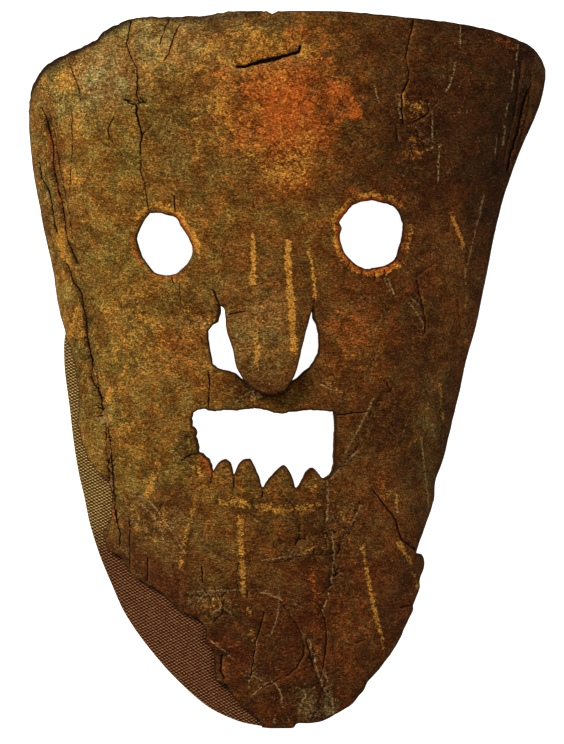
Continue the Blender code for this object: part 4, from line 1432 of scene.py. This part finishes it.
def flesh_side_material(grain):
    """The inner, flesh side: paler, dry and fibrous."""
    made, tree, shader, place = new_material("flesh_side", roughness=0.85, specular=0.1)
    texture = group_outputs(tree, grain, Place=place, Coarseness=0.7)
    colour = mix_colours(tree, remapped(tree, texture["Mottle"], 0.36, 0.64), FLESH_DARK, FLESH_LIGHT)
    colour = mix_colours(tree, remapped(tree, texture["Fibre"], 0.42, 0.66, 0.0, 0.7), colour, FLESH_FIBRE)
    tree.links.new(colour, shader.inputs["Base Color"])
    bumped(tree, shader, texture["Height"], strength=0.7, distance=0.0006)
    return made


def cut_edge_material(grain):
    """The cut or torn edge: dark, with brown fibres."""
    made, tree, shader, place = new_material("cut_edge", roughness=0.8, specular=0.1)
    texture = group_outputs(tree, grain, Place=place, Coarseness=1.4)
    colour = mix_colours(tree, remapped(tree, texture["Fibre"], 0.40, 0.66), CUT_DARK, CUT_FIBRE)
    tree.links.new(colour, shader.inputs["Base Color"])
    bumped(tree, shader, texture["Height"], strength=0.6, distance=0.0004)
    return made


def woven_material(dust):
    """A twill of thick threads, with a bead where each crosses a rib, coloured dark in the weave's hollows
    and bright on the beads' tops: painted shade and painted highlight.
    """
    made, tree, shader, place = new_material("twill_weave", roughness=0.95, specular=0.05)
    wobble = add_node(tree, "ShaderNodeTexNoise", Scale=260.0, Detail=2.0)
    shift = add_node(tree, "ShaderNodeVectorMath", operation="SCALE", Scale=0.0007)
    bent = add_node(tree, "ShaderNodeVectorMath", operation="ADD")
    turned = add_node(tree, "ShaderNodeMapping")
    turned.inputs["Rotation"].default_value = (0, 0, math.radians(-24))
    apart = tree.nodes.new("ShaderNodeSeparateXYZ")
    joined(tree, (place, wobble.inputs["Vector"]), (wobble.outputs[1], shift.inputs[0]),
           (place, bent.inputs[0]), (shift.outputs[0], bent.inputs[1]),
           (bent.outputs[0], turned.inputs["Vector"]), (turned.outputs[0], apart.inputs[0]))
    along = scaled(tree, apart.outputs["X"], 2 * math.pi / THREAD_PITCH)
    across = scaled(tree, apart.outputs["Y"], 2 * math.pi / RIB_PITCH)
    slant = math_node(tree, "SINE", summed(tree, along, scaled(tree, across, 0.5)))
    rib = math_node(tree, "SINE", across)
    height = summed(tree, scaled(tree, slant, 0.26), scaled(tree, rib, 0.26), 0.5)
    yarn = noise_value(tree, place, 1500.0, 3.0, 0.7)
    level = summed(tree, height, swing(tree, yarn, 1.1))
    broad = named_value(tree, "paint", "Color")
    # Painted shade in the weave's hollows and painted highlights on the beads' tops, both following the
    # weave's height
    colour = toned(tree, broad, remapped(tree, level, 0.28, 0.62), THREAD_SHADING)
    colour = mix_colours(tree, remapped(tree, level, 0.58, 0.84), colour, times(tree, broad, THREAD_HIGHLIGHT))
    stain = noise_value(tree, place, 150.0, 4.0, 0.6)
    colour = mix_colours(tree, remapped(tree, stain, 0.5, 0.75, 0.0, 0.35), colour, CLOTH_STAIN)
    specks = group_outputs(tree, dust, Place=place, Amount=0.1)["Cover"]
    colour = mix_colours(tree, scaled(tree, specks, 0.3), colour, CLOTH_DUST)
    tree.links.new(colour, shader.inputs["Base Color"])
    bumped(tree, shader, height, strength=0.8, distance=0.0009)
    return made


def make_stage():
    bpy.ops.mesh.primitive_plane_add(size=TABLE_SIZE, location=(0, 0, -TABLE_DROP))
    floor = bpy.context.object
    floor.name = "pale_table"
    made, tree, shader, _ = new_material("pale_table", roughness=0.9, specular=0.1)
    shader.inputs["Base Color"].default_value = TABLE_COLOUR
    shader.inputs["Emission Color"].default_value = (1.0, 1.0, 1.0, 1.0)
    seen = tree.nodes.new("ShaderNodeLightPath").outputs["Is Camera Ray"]
    tree.links.new(seen, shader.inputs["Emission Strength"])
    floor.data.materials.append(made)


def add_light(name, place, size, power, colour):
    data = bpy.data.lights.new(name, "AREA")
    data.shape = "DISK"
    data.size = size
    data.energy = power
    data.color = colour
    made = bpy.data.objects.new(name, data)
    made.location = place
    made.rotation_euler = Vector(place).to_track_quat("Z", "Y").to_euler()
    bpy.context.scene.collection.objects.link(made)


def make_light_and_camera():
    scene = bpy.context.scene
    for light in LIGHTS:
        add_light(*light)
    world = bpy.data.worlds.new("soft_room")
    world.use_nodes = True
    background = world.node_tree.nodes["Background"]
    background.inputs["Color"].default_value = ROOM_COLOUR
    background.inputs["Strength"].default_value = ROOM_STRENGTH
    scene.world = world
    scene.view_settings.view_transform = "Standard"
    scene.view_settings.look = "None"
    data = bpy.data.cameras.new("front_view")
    data.sensor_width = SENSOR_WIDTH
    data.lens = SENSOR_WIDTH * CAMERA_DISTANCE / (VIEW_HEIGHT * VIEW_STEP)
    camera = bpy.data.objects.new("front_view", data)
    x, y = from_view(VIEW_WIDTH / 2, VIEW_HEIGHT / 2)
    camera.location = (x, y, CAMERA_DISTANCE)
    scene.collection.objects.link(camera)
    scene.camera = camera


def main():
    make_light_and_camera()
    make_stage()
    grain = leather_grain_group()
    dust = dust_group()
    leather = make_leather()
    outer = grain_side_material(grain, worn_paint_group(), dust)
    for finish in (outer, flesh_side_material(grain), cut_edge_material(grain)):
        leather.data.materials.append(finish)
    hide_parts("leather_mask")
    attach(leather, "root")

    cloth = make_cloth()
    weave = woven_material(dust)
    for _ in range(3):
        cloth.data.materials.append(weave)
    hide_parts("backing_cloth")
    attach(cloth, "root")


main()
